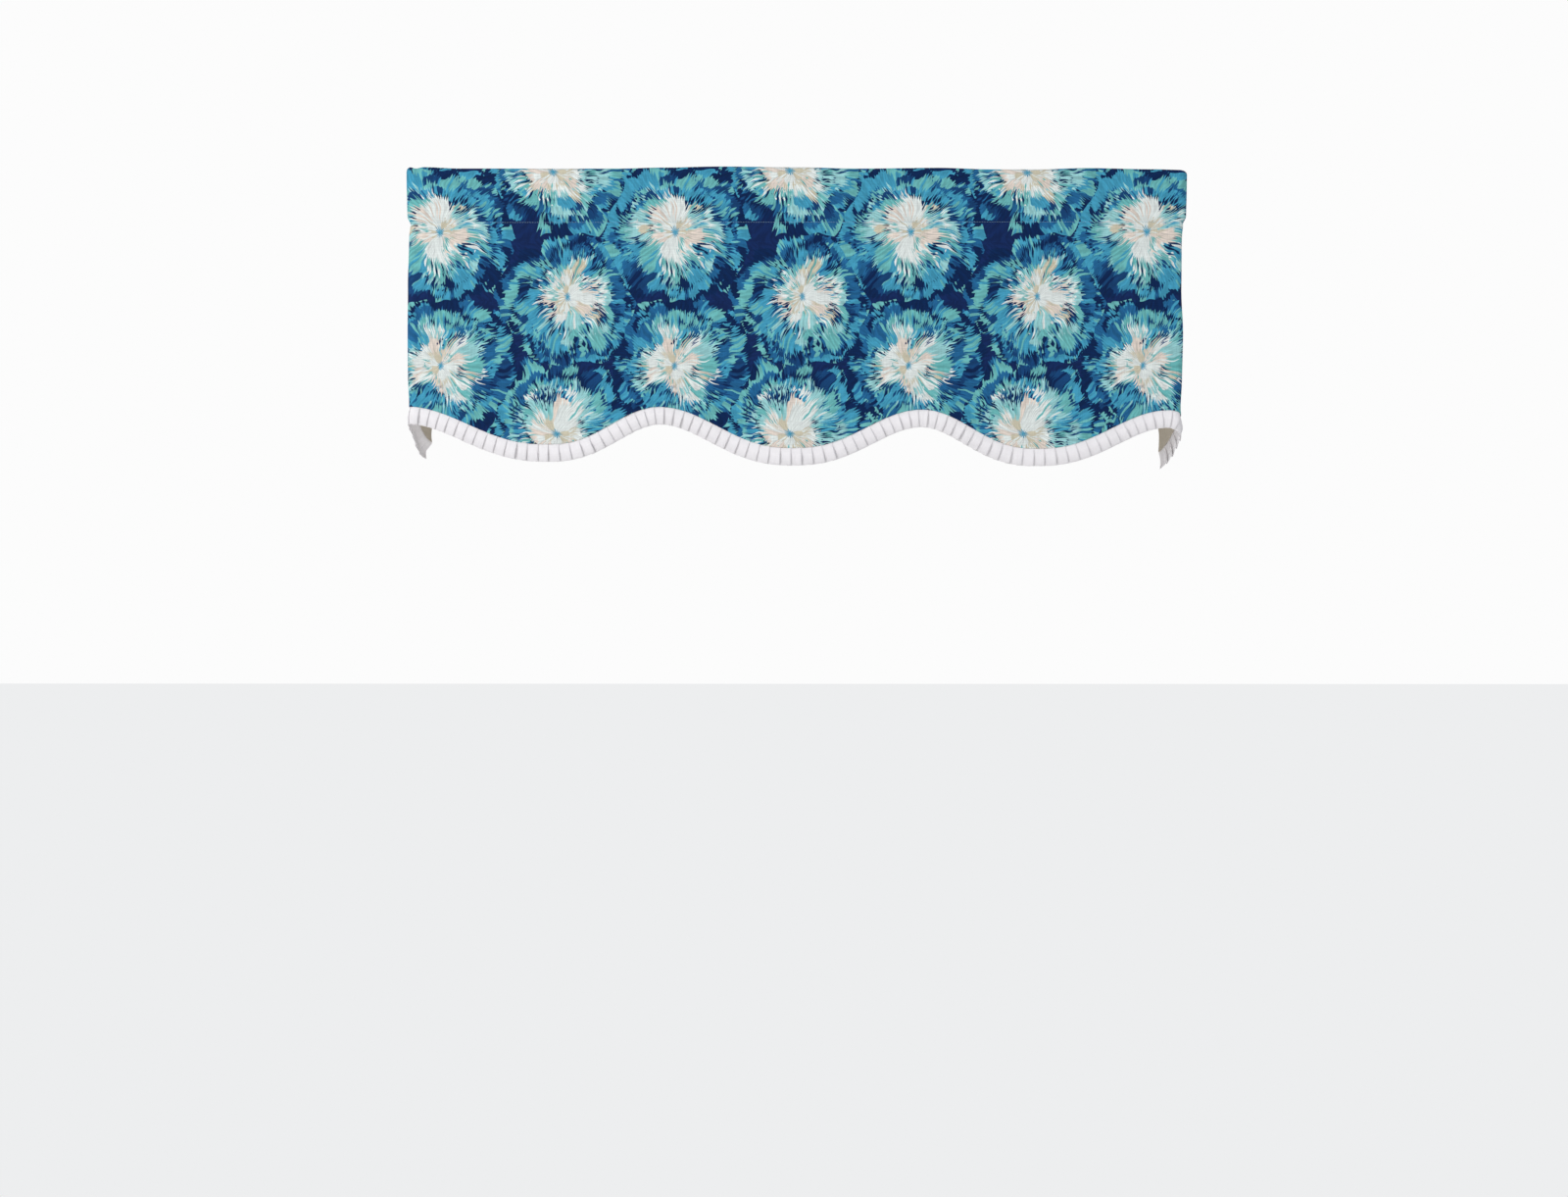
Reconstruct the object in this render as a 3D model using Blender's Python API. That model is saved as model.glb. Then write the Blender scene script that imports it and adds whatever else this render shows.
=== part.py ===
"""Window valance: a printed cloth with a rod pocket, its lining, and a knife-pleated edging.

Metres, +Z up. +X is the viewer's right, the viewer stands at -Y and the wall is at +Y.
The origin is the middle of the top edge, in the mid-plane of the rod pocket.

A place on the hanging cloth is given by three values: `along`, measured on the flat cloth from its
middle, `depth` below the top edge, and `out`, measured outwards from the pocket's mid-plane.
"""

import math

import bmesh
import bpy
from mathutils import Vector

# Cloth
CLOTH_HALF = 0.6350       # half of the flat width: half of the front and one return
FACE_THICK = 0.0012
LINING_THICK = 0.0010
TRIM_THICK = 0.0010
CLEARANCE = 0.0003        # between two pieces, and between two layers of the pleated strip

# Rod pocket, shaped as round a flat rod
POCKET_DEPTH = 0.0773     # from the top edge down to the stitch line
POCKET_OUT = 0.0056       # from the mid-plane to the middle of either wall
ROD_BOTTOM = 0.0668       # depth at which the walls begin to draw together
POCKET_HEM = 0.0045       # the back wall's turned edge, below the stitch line
LINING_CAUGHT = 0.0060    # the lining's upper edge, above the stitch line
TOP_STEPS = 4             # flats round the top fold

# At the stitch line, and below it, the cloth hangs a little in front of the mid-plane
FACE_OUT = 0.0017
LINING_OUT = FACE_OUT - (FACE_THICK + LINING_THICK) / 2 - CLEARANCE
POCKET_BACK_OUT = LINING_OUT - (FACE_THICK + LINING_THICK) / 2 - CLEARANCE

# Pleated edging
TRIM_DROP = 0.0254        # from the seam down to the edging's lower edge
PLEAT_PITCH = 0.0150
PLEAT_UNDERLAP = 0.0050   # the part of each pleat that lies under its neighbour
TRIM_OUT = FACE_OUT - 0.0012   # the folded strip's middle, a little behind the face
END_PLUMB = 0.4           # pleats stand square to the seam, but hang this much plumber at the back edges

# Gentle folds of the front, full at the lower edge: length, height, shift
FOLDS = (
    (0.372, 0.0021, 0.4),
    (0.233, 0.0009, 2.1),
)
FOLDS_FULL = 0.4193       # depth at which they are full
# How far each return bellies out half-way back, and leans in at its hem, at the lower edge
LEFT_BELLY = 0.0045
RIGHT_BELLY = 0.0020
HEM_LEAN = 0.0040

# Plan of the hanging cloth: depth, half-width to the left and to the right at the pocket's mid-plane,
# radius of the corners
WIDTHS = (
    (0.0000, 0.5545, 0.5575, 0.010),
    (0.0773, 0.5545, 0.5575, 0.010),
    (0.0978, 0.5568, 0.5560, 0.010),
    (0.1680, 0.5595, 0.5568, 0.011),
    (0.2380, 0.5606, 0.5603, 0.011),
    (0.2980, 0.5607, 0.5600, 0.011),
    (0.3430, 0.5590, 0.5586, 0.011),
    (0.3700, 0.5612, 0.5615, 0.012),
    (0.4400, 0.5612, 0.5620, 0.012),
)
# The top edge's unevenness: along the cloth, dip below the level of its middle
TOP_DIPS = (
    (-0.562, -0.0006),
    (-0.554, -0.0022),
    (-0.543, 0.0012),
    (-0.532, -0.0008),
    (-0.480, 0.0012),
    (-0.333, 0.0016),
    (-0.255, 0.0016),
    (-0.188, 0.0002),
    (-0.110, -0.0012),
    (0.000, 0.0000),
    (0.091, 0.0020),
    (0.203, 0.0010),
    (0.281, 0.0033),
    (0.348, 0.0034),
    (0.415, 0.0016),
    (0.505, 0.0033),
    (0.560, 0.0045),
)
# Scalloped bottom seam: along the cloth, depth. The first and last rows lie past the side hems.
SCALLOPS = (
    (-0.6450, 0.3818),
    (-0.5650, 0.3383),
    (-0.3580, 0.3930),
    (-0.1960, 0.3393),
    (-0.0030, 0.3986),
    (0.1835, 0.3433),
    (0.3508, 0.3994),
    (0.5400, 0.3443),
    (0.6520, 0.3983),
)
SCALLOP_POWER = 1.25      # above 1, the crests are narrower than the troughs

CORNER = (0.543, 0.571)   # stretch of the cloth that bends round each front corner
CORNER_STEPS = 6
HANG_STEPS = (1.0, 0.72, 0.42, 0.16, 0.04)   # rows from the seam up to the stitch line
SEAM_SAMPLES = 4000       # steps used to measure lengths along the seam
SLOPE_STEP = 0.0060       # half of the step used to measure the seam's slope, about that of a pleat

PRINT_BLUE = (0.055, 0.190, 0.330)
OFF_WHITE = (0.760, 0.730, 0.680)
WHITE = (0.870, 0.860, 0.880)


def bracket(rows, x):
    """The two neighbouring rows that x lies between, and how far along it is from 0 to 1."""
    x = min(max(x, rows[0][0]), rows[-1][0])
    for low, high in zip(rows, rows[1:]):
        if x <= high[0]:
            return low, high, (x - low[0]) / (high[0] - low[0])
    return rows[-2], rows[-1], 1.0


def linear(rows, x):
    """A two-column table read at x."""
    low, high, part = bracket(rows, x)
    return low[1] + (high[1] - low[1]) * part


def eased(rows, x, column=1):
    """A table's column read at x, with a smooth rise from each row to the next."""
    low, high, part = bracket(rows, x)
    part = (1 - math.cos(math.pi * part)) / 2
    return low[column] + (high[column] - low[column]) * part


def seam_depth(along):
    """Depth of the scalloped seam."""
    low, high, part = bracket(SCALLOPS, along)
    crest, trough = low[1], high[1]
    if crest > trough:
        crest, trough, part = trough, crest, 1 - part
    lift = ((1 + math.cos(math.pi * part)) / 2) ** SCALLOP_POWER
    return trough - (trough - crest) * lift


def fold_out(along, depth):
    """How far the front's folds and the returns' bellies stand out, growing from the stitch line down."""
    share = max(0.0, (depth - POCKET_DEPTH) / (FOLDS_FULL - POCKET_DEPTH))
    if abs(along) < CORNER[0]:
        waves = sum(
            height * math.sin(2 * math.pi * along / length + shift) for length, height, shift in FOLDS
        )
        fade = 1 - (abs(along) / CORNER[0]) ** 4
        return waves * fade * share
    belly = LEFT_BELLY if along < 0 else RIGHT_BELLY
    back = (abs(along) - CORNER[0]) / (CLOTH_HALF - CORNER[0])
    return (belly * math.sin(math.pi * back) - HEM_LEAN * back**2) * share


def place(along, depth, out):
    """The point of the hanging cloth at a place on the flat cloth."""
    half = eased(WIDTHS, depth, 1 if along < 0 else 2)
    radius = eased(WIDTHS, depth, 3)
    past = abs(along) - (half - radius)
    turn = min(max(past / radius, 0.0), math.pi / 2)
    x = half - radius + (radius + out) * math.sin(turn)
    y = radius - (radius + out) * math.cos(turn)
    if past <= 0:
        x = abs(along)
    else:
        y += max(0.0, past - radius * math.pi / 2)
    top = eased(TOP_DIPS, along) * max(0.0, 1 - depth / POCKET_DEPTH)
    return Vector((math.copysign(x, along), y, -depth - top))


def seam_stations():
    """Places along the seam, as (length along the seam, along, depth), one at each pleat's edge
    and some round each corner, and the seam's whole length."""
    places = [-CLOTH_HALF + 2 * CLOTH_HALF * i / SEAM_SAMPLES for i in range(SEAM_SAMPLES + 1)]
    lengths = [0.0]
    for a, b in zip(places, places[1:]):
        lengths.append(lengths[-1] + math.hypot(b - a, seam_depth(b) - seam_depth(a)))
    whole = lengths[-1]
    length_at = list(zip(places, lengths))
    along_at = list(zip(lengths, places))
    pleats = round(whole / PLEAT_PITCH)
    edges = [linear(along_at, whole * i / pleats) for i in range(pleats + 1)]
    low, high = CORNER
    bends = [low + (high - low) * i / CORNER_STEPS for i in range(CORNER_STEPS + 1)]
    closest = PLEAT_PITCH / 4
    for bend in bends + [-bend for bend in bends]:
        if min(abs(bend - edge) for edge in edges) > closest:
            edges.append(bend)
    edges[0], edges[pleats] = -CLOTH_HALF, CLOTH_HALF
    return [(linear(length_at, s), s, seam_depth(s)) for s in sorted(edges)], whole, pleats


STATIONS, SEAM_LENGTH, PLEATS = seam_stations()
COLUMNS = [along for _, along, _ in STATIONS]


def add_object(name, mesh, color, roughness):
    """A smooth-shaded object of its own material."""
    bmesh.ops.recalc_face_normals(mesh, faces=mesh.faces)
    data = bpy.data.meshes.new(name)
    mesh.to_mesh(data)
    mesh.free()
    data.shade_smooth()
    data.set_sharp_from_angle(angle=math.radians(40))
    material = bpy.data.materials.new(name)
    material.use_nodes = True
    shader = material.node_tree.nodes["Principled BSDF"]
    shader.inputs["Base Color"].default_value = (*color, 1)
    shader.inputs["Roughness"].default_value = roughness
    shader.inputs["Metallic"].default_value = 0.0
    data.materials.append(material)
    thing = bpy.data.objects.new(name, data)
    bpy.context.scene.collection.objects.link(thing)
    return thing


def normals(grid):
    """A unit normal at each point of a grid of points, from its neighbours."""
    rows, columns = len(grid), len(grid[0])
    result = []
    for i in range(rows):
        across = []
        for j in range(columns):
            down = grid[min(i + 1, rows - 1)][j] - grid[max(i - 1, 0)][j]
            side = grid[i][min(j + 1, columns - 1)] - grid[i][max(j - 1, 0)]
            across.append(side.cross(down).normalized())
        result.append(across)
    return result


def add_sheet(name, grid, thick, color, roughness):
    """A closed sheet of cloth round a grid of mid-surface points."""
    mesh = bmesh.new()
    sides = []
    for sign in (1, -1):
        sides.append([
            [mesh.verts.new(point + normal * sign * thick / 2) for point, normal in zip(line, turned)]
            for line, turned in zip(grid, normals(grid))
        ])
    front, back = sides
    rows, columns = len(grid), len(grid[0])
    for i in range(rows - 1):
        for j in range(columns - 1):
            for side in sides:
                mesh.faces.new((side[i][j], side[i][j + 1], side[i + 1][j + 1], side[i + 1][j]))
    for i in (0, rows - 1):
        for j in range(columns - 1):
            mesh.faces.new((front[i][j], front[i][j + 1], back[i][j + 1], back[i][j]))
    for j in (0, columns - 1):
        for i in range(rows - 1):
            mesh.faces.new((front[i][j], front[i + 1][j], back[i + 1][j], back[i][j]))
    return add_object(name, mesh, color, roughness)


def hanging_rows(out):
    """Rows from the seam up to just under the stitch line, `out` in front of the mid-plane."""
    rows = []
    for share in HANG_STEPS:
        row = []
        for along in COLUMNS:
            depth = POCKET_DEPTH + (seam_depth(along) - POCKET_DEPTH) * share
            row.append(place(along, depth, out + fold_out(along, depth)))
        rows.append(row)
    return rows


def level_row(depth, out):
    """A row at one depth, inside the pocket's height."""
    return [place(along, depth, out) for along in COLUMNS]


def face_cloth():
    """The printed cloth: from the seam up the front, over the top and down the pocket's back."""
    grid = hanging_rows(FACE_OUT)
    grid.append(level_row(POCKET_DEPTH, FACE_OUT))
    grid.append(level_row((POCKET_DEPTH + ROD_BOTTOM) / 2, (FACE_OUT + POCKET_OUT) / 2))
    grid.append(level_row(ROD_BOTTOM, POCKET_OUT))
    crown = POCKET_OUT + FACE_THICK / 2
    for i in range(TOP_STEPS + 1):
        angle = math.pi * i / TOP_STEPS
        grid.append(level_row(crown - POCKET_OUT * math.sin(angle), POCKET_OUT * math.cos(angle)))
    grid.append(level_row(ROD_BOTTOM, -POCKET_OUT))
    grid.append(level_row(POCKET_DEPTH, POCKET_BACK_OUT))
    grid.append(level_row(POCKET_DEPTH + POCKET_HEM, POCKET_BACK_OUT))
    return add_sheet("face_cloth", grid, FACE_THICK, PRINT_BLUE, 0.85)


def lining():
    """The lining: from the seam up to the pocket's stitch line, where it is caught."""
    grid = hanging_rows(LINING_OUT)
    grid.append(level_row(POCKET_DEPTH, LINING_OUT))
    grid.append(level_row(POCKET_DEPTH - LINING_CAUGHT, LINING_OUT))
    return add_sheet("lining", grid, LINING_THICK, OFF_WHITE, 0.9)


def pleat_path():
    """The folded strip's middle line, as (length along the seam, out). Each pleat starts under its
    left neighbour, rises to its own edge on the right, turns back and dives to start the next."""
    pitch = SEAM_LENGTH / PLEATS
    layer = TRIM_THICK + CLEARANCE
    slope = 2 * layer / pitch
    lowest = -slope * (pitch + PLEAT_UNDERLAP) / 2
    path = []
    for i in range(PLEATS):
        start = max(i * pitch - PLEAT_UNDERLAP, 0.0)
        end = (i + 1) * pitch
        stops = [length for length, _, _ in STATIONS if start + CLEARANCE < length < end - CLEARANCE]
        for length in [start, *stops, end]:
            path.append((length, lowest + slope * (length - i * pitch + PLEAT_UNDERLAP)))
        if i + 1 < PLEATS:
            path.append((end, path[-1][1] - layer))
            path.append((end - PLEAT_UNDERLAP, path[-1][1] - slope * PLEAT_UNDERLAP))
    return path


def offset_path(path, distance):
    """An open line of 2-D points moved sideways, with mitred corners."""
    moved = []
    for i, (x, y) in enumerate(path):
        before = path[max(i - 1, 0)]
        after = path[min(i + 1, len(path) - 1)]
        steps = []
        for (ax, ay), (bx, by) in ((before, (x, y)), ((x, y), after)):
            long = math.hypot(bx - ax, by - ay)
            if long > 0:
                steps.append((-(by - ay) / long, (bx - ax) / long))
        (nx, ny), (mx, my) = steps[0], steps[-1]
        reach = distance / (1 + nx * mx + ny * my)
        moved.append((x + (nx + mx) * reach, y + (ny + my) * reach))
    return moved


def pleat_slope(along):
    """The slope to which a pleat stands square: the seam's own on the front, less on the returns."""
    rise = seam_depth(along + SLOPE_STEP) - seam_depth(along - SLOPE_STEP)
    back = max(0.0, (abs(along) - CORNER[0]) / (CLOTH_HALF - CORNER[0]))
    return rise / (2 * SLOPE_STEP) * (1 - END_PLUMB * back)


def trim_lines():
    """For the edging's upper and lower edge, tables from length along the seam to along and depth."""
    lines = []
    for drop in (CLEARANCE, TRIM_DROP):
        across, down = [], []
        for length, along, depth in STATIONS:
            slope = pleat_slope(along)
            square = math.hypot(1, slope)
            across.append((length, along - drop * slope / square))
            down.append((length, depth + drop / square))
        lines.append((across, down))
    return lines


def pleated_trim():
    """The white edging: one strip folded back and forth into knife pleats."""
    mesh = bmesh.new()
    path = pleat_path()
    outlines = [offset_path(path, TRIM_THICK / 2), offset_path(path, -TRIM_THICK / 2)]
    rings = []
    for across, down in trim_lines():
        ring = []
        for outline in outlines:
            line = []
            for length, out in outline:
                along, depth = linear(across, length), linear(down, length)
                line.append(mesh.verts.new(place(along, depth, TRIM_OUT + out + fold_out(along, depth))))
            ring.append(line)
        rings.append(ring)
    (upper_out, upper_in), (lower_out, lower_in) = rings
    last = len(path) - 1
    for i in range(last):
        mesh.faces.new((upper_out[i], upper_out[i + 1], lower_out[i + 1], lower_out[i]))
        mesh.faces.new((upper_in[i], upper_in[i + 1], lower_in[i + 1], lower_in[i]))
        mesh.faces.new((upper_out[i], upper_out[i + 1], upper_in[i + 1], upper_in[i]))
        mesh.faces.new((lower_out[i], lower_out[i + 1], lower_in[i + 1], lower_in[i]))
    for i in (0, last):
        mesh.faces.new((upper_out[i], upper_in[i], lower_in[i], lower_out[i]))
    return add_object("pleated_trim", mesh, WHITE, 0.85)


for old in list(bpy.data.objects):
    bpy.data.objects.remove(old)

face_cloth()
lining()
pleated_trim()
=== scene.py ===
# %% [markdown]
# # A scalloped valance
# A valance is the short cloth that hides a curtain rod. This one is a printed cotton front that turns
# back to the wall at both ends, a sleeve along its top for a flat rod, an unbleached cotton lining, and
# a white knife-pleated edging sewn into its scalloped hem. The lesson starts from plain solids of the
# same valance, and makes each cloth again as a thin sheet with its folds, hems, stitches, weave and
# print.

# %% Load the solids and keep their box
import math

import bpy
import numpy as np
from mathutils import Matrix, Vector, noise


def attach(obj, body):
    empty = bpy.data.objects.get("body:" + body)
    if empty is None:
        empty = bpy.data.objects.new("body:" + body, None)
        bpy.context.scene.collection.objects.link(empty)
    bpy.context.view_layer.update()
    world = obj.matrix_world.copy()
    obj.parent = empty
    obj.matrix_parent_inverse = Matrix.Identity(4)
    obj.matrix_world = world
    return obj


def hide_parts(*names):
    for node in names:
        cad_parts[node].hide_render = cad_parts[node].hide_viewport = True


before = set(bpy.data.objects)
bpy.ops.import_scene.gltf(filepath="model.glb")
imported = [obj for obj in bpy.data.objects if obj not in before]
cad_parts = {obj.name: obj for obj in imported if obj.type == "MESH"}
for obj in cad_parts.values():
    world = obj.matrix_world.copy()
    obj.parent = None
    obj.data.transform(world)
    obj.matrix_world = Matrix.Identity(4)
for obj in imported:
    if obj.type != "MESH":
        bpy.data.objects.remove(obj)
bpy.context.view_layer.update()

print("solids:", sorted(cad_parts))

# %% [markdown]
# ## The camera
# The portrait is taken from straight in front and from a little lower than the valance, with a wide
# lens that looks slightly down. So near, the lens looks outwards at both ends of the valance, and it
# shows a little of their insides under the hem. A long lens from further off would hide them.

# %% Camera
IMAGE = (1600, 1221)       # pixels
FOCAL_PIXELS = 938.0
SENSOR_MM = 36.0
CAMERA_PLACE = (-0.0125, -1.3434, -0.5553)
CAMERA_TILT = 87.35        # degrees up from straight down: 90 is level
CAMERA_TURN = 0.16         # degrees to the left

camera_data = bpy.data.cameras.new("camera")
camera_data.sensor_fit = "HORIZONTAL"
camera_data.sensor_width = SENSOR_MM
camera_data.lens = FOCAL_PIXELS / IMAGE[0] * SENSOR_MM
camera = bpy.data.objects.new("camera", camera_data)
camera.location = CAMERA_PLACE
camera.rotation_euler = (math.radians(CAMERA_TILT), 0.0, math.radians(CAMERA_TURN))
bpy.context.scene.collection.objects.link(camera)
bpy.context.scene.camera = camera
print(f"camera: {camera_data.lens:.1f} mm lens")

# %% [markdown]
# ## Sizes
# A place on the cloth has three values, as a maker would measure it: `along` the flat cloth from its
# middle, `depth` below the top edge, and `out` in front of the sleeve's mid-plane. Everything is in
# metres, with +X to the viewer's right, +Y back to the wall and +Z up. No cloth hangs quite straight,
# so its edges are written as short tables of the places where they turn.

# %% Sizes of the hanging cloth
CLOTH_HALF = 0.6350        # half of the flat width: half of the front and one end
POCKET_DEPTH = 0.0773      # from the top edge down to the sleeve's stitch line
CORNER = (0.543, 0.571)    # stretch of the cloth that bends round each front corner

# Plan: depth, half-width to the left and to the right at the mid-plane, radius of the corners
WIDTHS = (
    (0.0000, 0.5545, 0.5575, 0.010),
    (0.0773, 0.5545, 0.5575, 0.010),
    (0.0978, 0.5568, 0.5560, 0.010),
    (0.1680, 0.5595, 0.5568, 0.011),
    (0.2380, 0.5606, 0.5603, 0.011),
    (0.2980, 0.5607, 0.5600, 0.011),
    (0.3430, 0.5590, 0.5586, 0.011),
    (0.3700, 0.5612, 0.5615, 0.012),
    (0.4400, 0.5612, 0.5620, 0.012),
)
# The top edge's unevenness: along, dip below the level of its middle
TOP_DIPS = (
    (-0.562, -0.0006),
    (-0.554, -0.0022),
    (-0.543, 0.0012),
    (-0.532, -0.0008),
    (-0.480, 0.0012),
    (-0.333, 0.0016),
    (-0.255, 0.0016),
    (-0.188, 0.0002),
    (-0.110, -0.0012),
    (0.000, 0.0000),
    (0.091, 0.0020),
    (0.203, 0.0010),
    (0.281, 0.0033),
    (0.348, 0.0034),
    (0.415, 0.0016),
    (0.505, 0.0033),
    (0.560, 0.0045),
)
# Crests and troughs of the scalloped seam: along, depth
SCALLOPS = (
    (-0.6450, 0.3818),
    (-0.5650, 0.3383),
    (-0.3580, 0.3930),
    (-0.1960, 0.3393),
    (-0.0030, 0.3986),
    (0.1835, 0.3433),
    (0.3508, 0.3994),
    (0.5400, 0.3443),
    (0.6520, 0.3983),
)
print(f"flat cloth {CLOTH_HALF * 2000:.0f} mm wide, front {sum(WIDTHS[0][1:3]) * 1000:.0f} mm wide")

# %% [markdown]
# ## Reading the tables
# Between two rows of a table the edge runs in a soft S, level at both rows. A spline would do too, but
# it swings past its points, and an edge that is level at each crest and trough can't.

# %% Read a table at any place
SCALLOP_POWER = 1.25       # above 1, the crests are narrower than the troughs


def bracket(rows, x):
    """The two neighbouring rows that x lies between, and how far along it is from 0 to 1."""
    x = min(max(x, rows[0][0]), rows[-1][0])
    for low, high in zip(rows, rows[1:]):
        if x <= high[0]:
            return low, high, (x - low[0]) / (high[0] - low[0])
    return rows[-2], rows[-1], 1.0


def smooth(part):
    """A soft rise from 0 to 1."""
    return (1 - math.cos(math.pi * min(max(part, 0.0), 1.0))) / 2


def eased(rows, x, column=1):
    """A table's column read at x, with a soft rise from each row to the next."""
    low, high, part = bracket(rows, x)
    return low[column] + (high[column] - low[column]) * smooth(part)


def seam_depth(along):
    """Depth of the scalloped seam."""
    low, high, part = bracket(SCALLOPS, along)
    crest, trough = low[1], high[1]
    if crest > trough:
        crest, trough, part = trough, crest, 1 - part
    return trough - (trough - crest) * (1 - smooth(part)) ** SCALLOP_POWER


print("seam, mm down in the middle and at the corner:",
      [round(seam_depth(along) * 1000) for along in (0, CORNER[0])])

# %% [markdown]
# ## How the cloth hangs
# Cloth that hangs from a straight rod is almost flat. What the eye reads as cloth are low, long swells
# that grow towards the free edge, the soft bend round each corner, and small unevenness at the seams.
# A simulation would have to find these by chance, so they are laid in as given. All the layers share
# one `sway`, which keeps them from cutting through each other.

# %% Folds and swells
FOLDS = ((0.372, 0.0021, 0.4), (0.233, 0.0009, 2.1))   # long folds: length, height, shift
FOLDS_FULL = 0.4193        # depth at which they are full
FOLDS_FADE = 4             # power with which they die away towards the corners
SWELLS = ((0.085, 0.30, 0.0011), (0.034, 0.16, 0.0004))   # uneven swells: width, length, height
SWELLS_RETURN = 3          # behind a corner, the swells are back in full after a third of the end
LEFT_BELLY = 0.0045        # how far each end stands out half-way back
RIGHT_BELLY = 0.0020
HEM_LEAN = 0.0040          # how far both lean in at the back edge
SEEDS = {                  # where each kind of unevenness reads the noise; the swells read it at 0 and 1
    "pucker": 5.0, "dent": 7.0, "ripple": 9.0,
    "pleat width": 11.0, "pleat slant": 13.0, "pleat opening": 15.0, "free edge": 17.0,
}


def uneven(along, depth, width, length, seed):
    """Soft chance unevenness from about -1 to 1, in swells of this width and length."""
    return noise.noise(Vector((along / width, depth / length, seed)))


def sway(along, depth):
    """How far all the layers stand out, growing from the stitch line down."""
    share = max(0.0, (depth - POCKET_DEPTH) / (FOLDS_FULL - POCKET_DEPTH))
    swell = sum(
        height * uneven(along, depth, width, length, i) for i, (width, length, height) in enumerate(SWELLS)
    )
    if abs(along) < CORNER[0]:
        waves = sum(h * math.sin(2 * math.pi * along / length + shift) for length, h, shift in FOLDS)
        return ((waves + swell) * (1 - (abs(along) / CORNER[0]) ** FOLDS_FADE)) * share
    belly = LEFT_BELLY if along < 0 else RIGHT_BELLY
    back = (abs(along) - CORNER[0]) / (CLOTH_HALF - CORNER[0])
    swell *= min(1.0, SWELLS_RETURN * back)
    return (belly * math.sin(math.pi * back) - HEM_LEAN * back**2 + swell) * share


print(f"the front sways {sway(0.05, 0.4) * 1000:.1f} mm out at its lower edge, near the middle")

# %% [markdown]
# ## From the flat cloth to the hanging cloth
# One function turns the maker's three values into a point in space: straight along the front, round
# the corner on a small circle, and straight back to the wall. All the cloths and stitches use it, so
# what lies together on the flat also lies together on the rod.

# %% Place a point of the cloth in space
def hang(along, depth, out):
    """The point in space of a place on the cloth."""
    half = eased(WIDTHS, depth, 1 if along < 0 else 2)
    radius = eased(WIDTHS, depth, 3)
    past = abs(along) - (half - radius)
    turn = min(max(past / radius, 0.0), math.pi / 2)
    x = half - radius + (radius + out) * math.sin(turn)
    y = radius - (radius + out) * math.cos(turn)
    if past <= 0:
        x = abs(along)
    else:
        y += max(0.0, past - radius * math.pi / 2)
    top = eased(TOP_DIPS, along) * max(0.0, 1 - depth / POCKET_DEPTH)
    return Vector((math.copysign(x, along), y, -depth - top))


print("right back edge, half-way down:", [round(v, 3) for v in hang(CLOTH_HALF, 0.2, 0.0)])

# %% [markdown]
# ## A sheet with two sides
# Real cloth has a right side, a wrong side and an edge that is a fold, so each sheet is a closed mesh:
# a grid of points in the middle of the cloth, pushed half its thickness to either side, and joined
# round the rim over a rounded edge. A Solidify modifier could do this for an even cloth, but here the
# thickness changes at hems and seams. First the faces: both sides of the sheet have the same ones, the
# wrong side's turned round, and the rounded edge is a strip of two faces beside each other.

# %% Faces of a closed sheet
def unit(vectors):
    """The same directions, each of length one."""
    return vectors / np.linalg.norm(vectors, axis=-1, keepdims=True)


def place_mesh(name, points, faces, materials):
    """A new mesh in the scene, with these materials."""
    mesh = bpy.data.meshes.new(name)
    mesh.from_pydata(points, [], faces)
    for material in materials:
        mesh.materials.append(material)
    thing = bpy.data.objects.new(name, mesh)
    bpy.context.scene.collection.objects.link(thing)
    return thing


def quads(index, order):
    """The faces between the points of a grid, each with its corners in this order."""
    corners = (index[:-1, :-1], index[:-1, 1:], index[1:, 1:], index[1:, :-1])
    return np.stack([corners[i] for i in order], -1).reshape(-1, 4)


def sheet_faces(rows, columns):
    """The grid's points round the rim, and the faces of both sides and of the rounded edge."""
    count = rows * columns
    index = np.arange(count).reshape(rows, columns)
    rim = np.concatenate((index[0, :], index[1:, -1], index[-1, -2::-1], index[-2:0:-1, 0]))
    edge = 2 * count + np.arange(len(rim))
    rim_after, edge_after = np.roll(rim, -1), np.roll(edge, -1)
    return rim, (
        quads(index, (0, 1, 2, 3)),
        quads(index + count, (3, 2, 1, 0)),
        np.stack((rim, edge, edge_after, rim_after), -1),
        np.stack((edge, rim + count, rim_after + count, edge_after), -1),
    )


print("a sheet of 3 by 4 points has", sum(len(part) for part in sheet_faces(3, 4)[1]), "faces")

# %% [markdown]
# ## From a grid to a sheet
# Then the points: each goes to both sides along the cloth's own normal, and each on the rim also
# outwards. The flat cloth's measures are kept as a UV map, in metres, so that weave and print follow
# the thread wherever the cloth goes, and so that the cloth's area can be measured on it.

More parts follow.
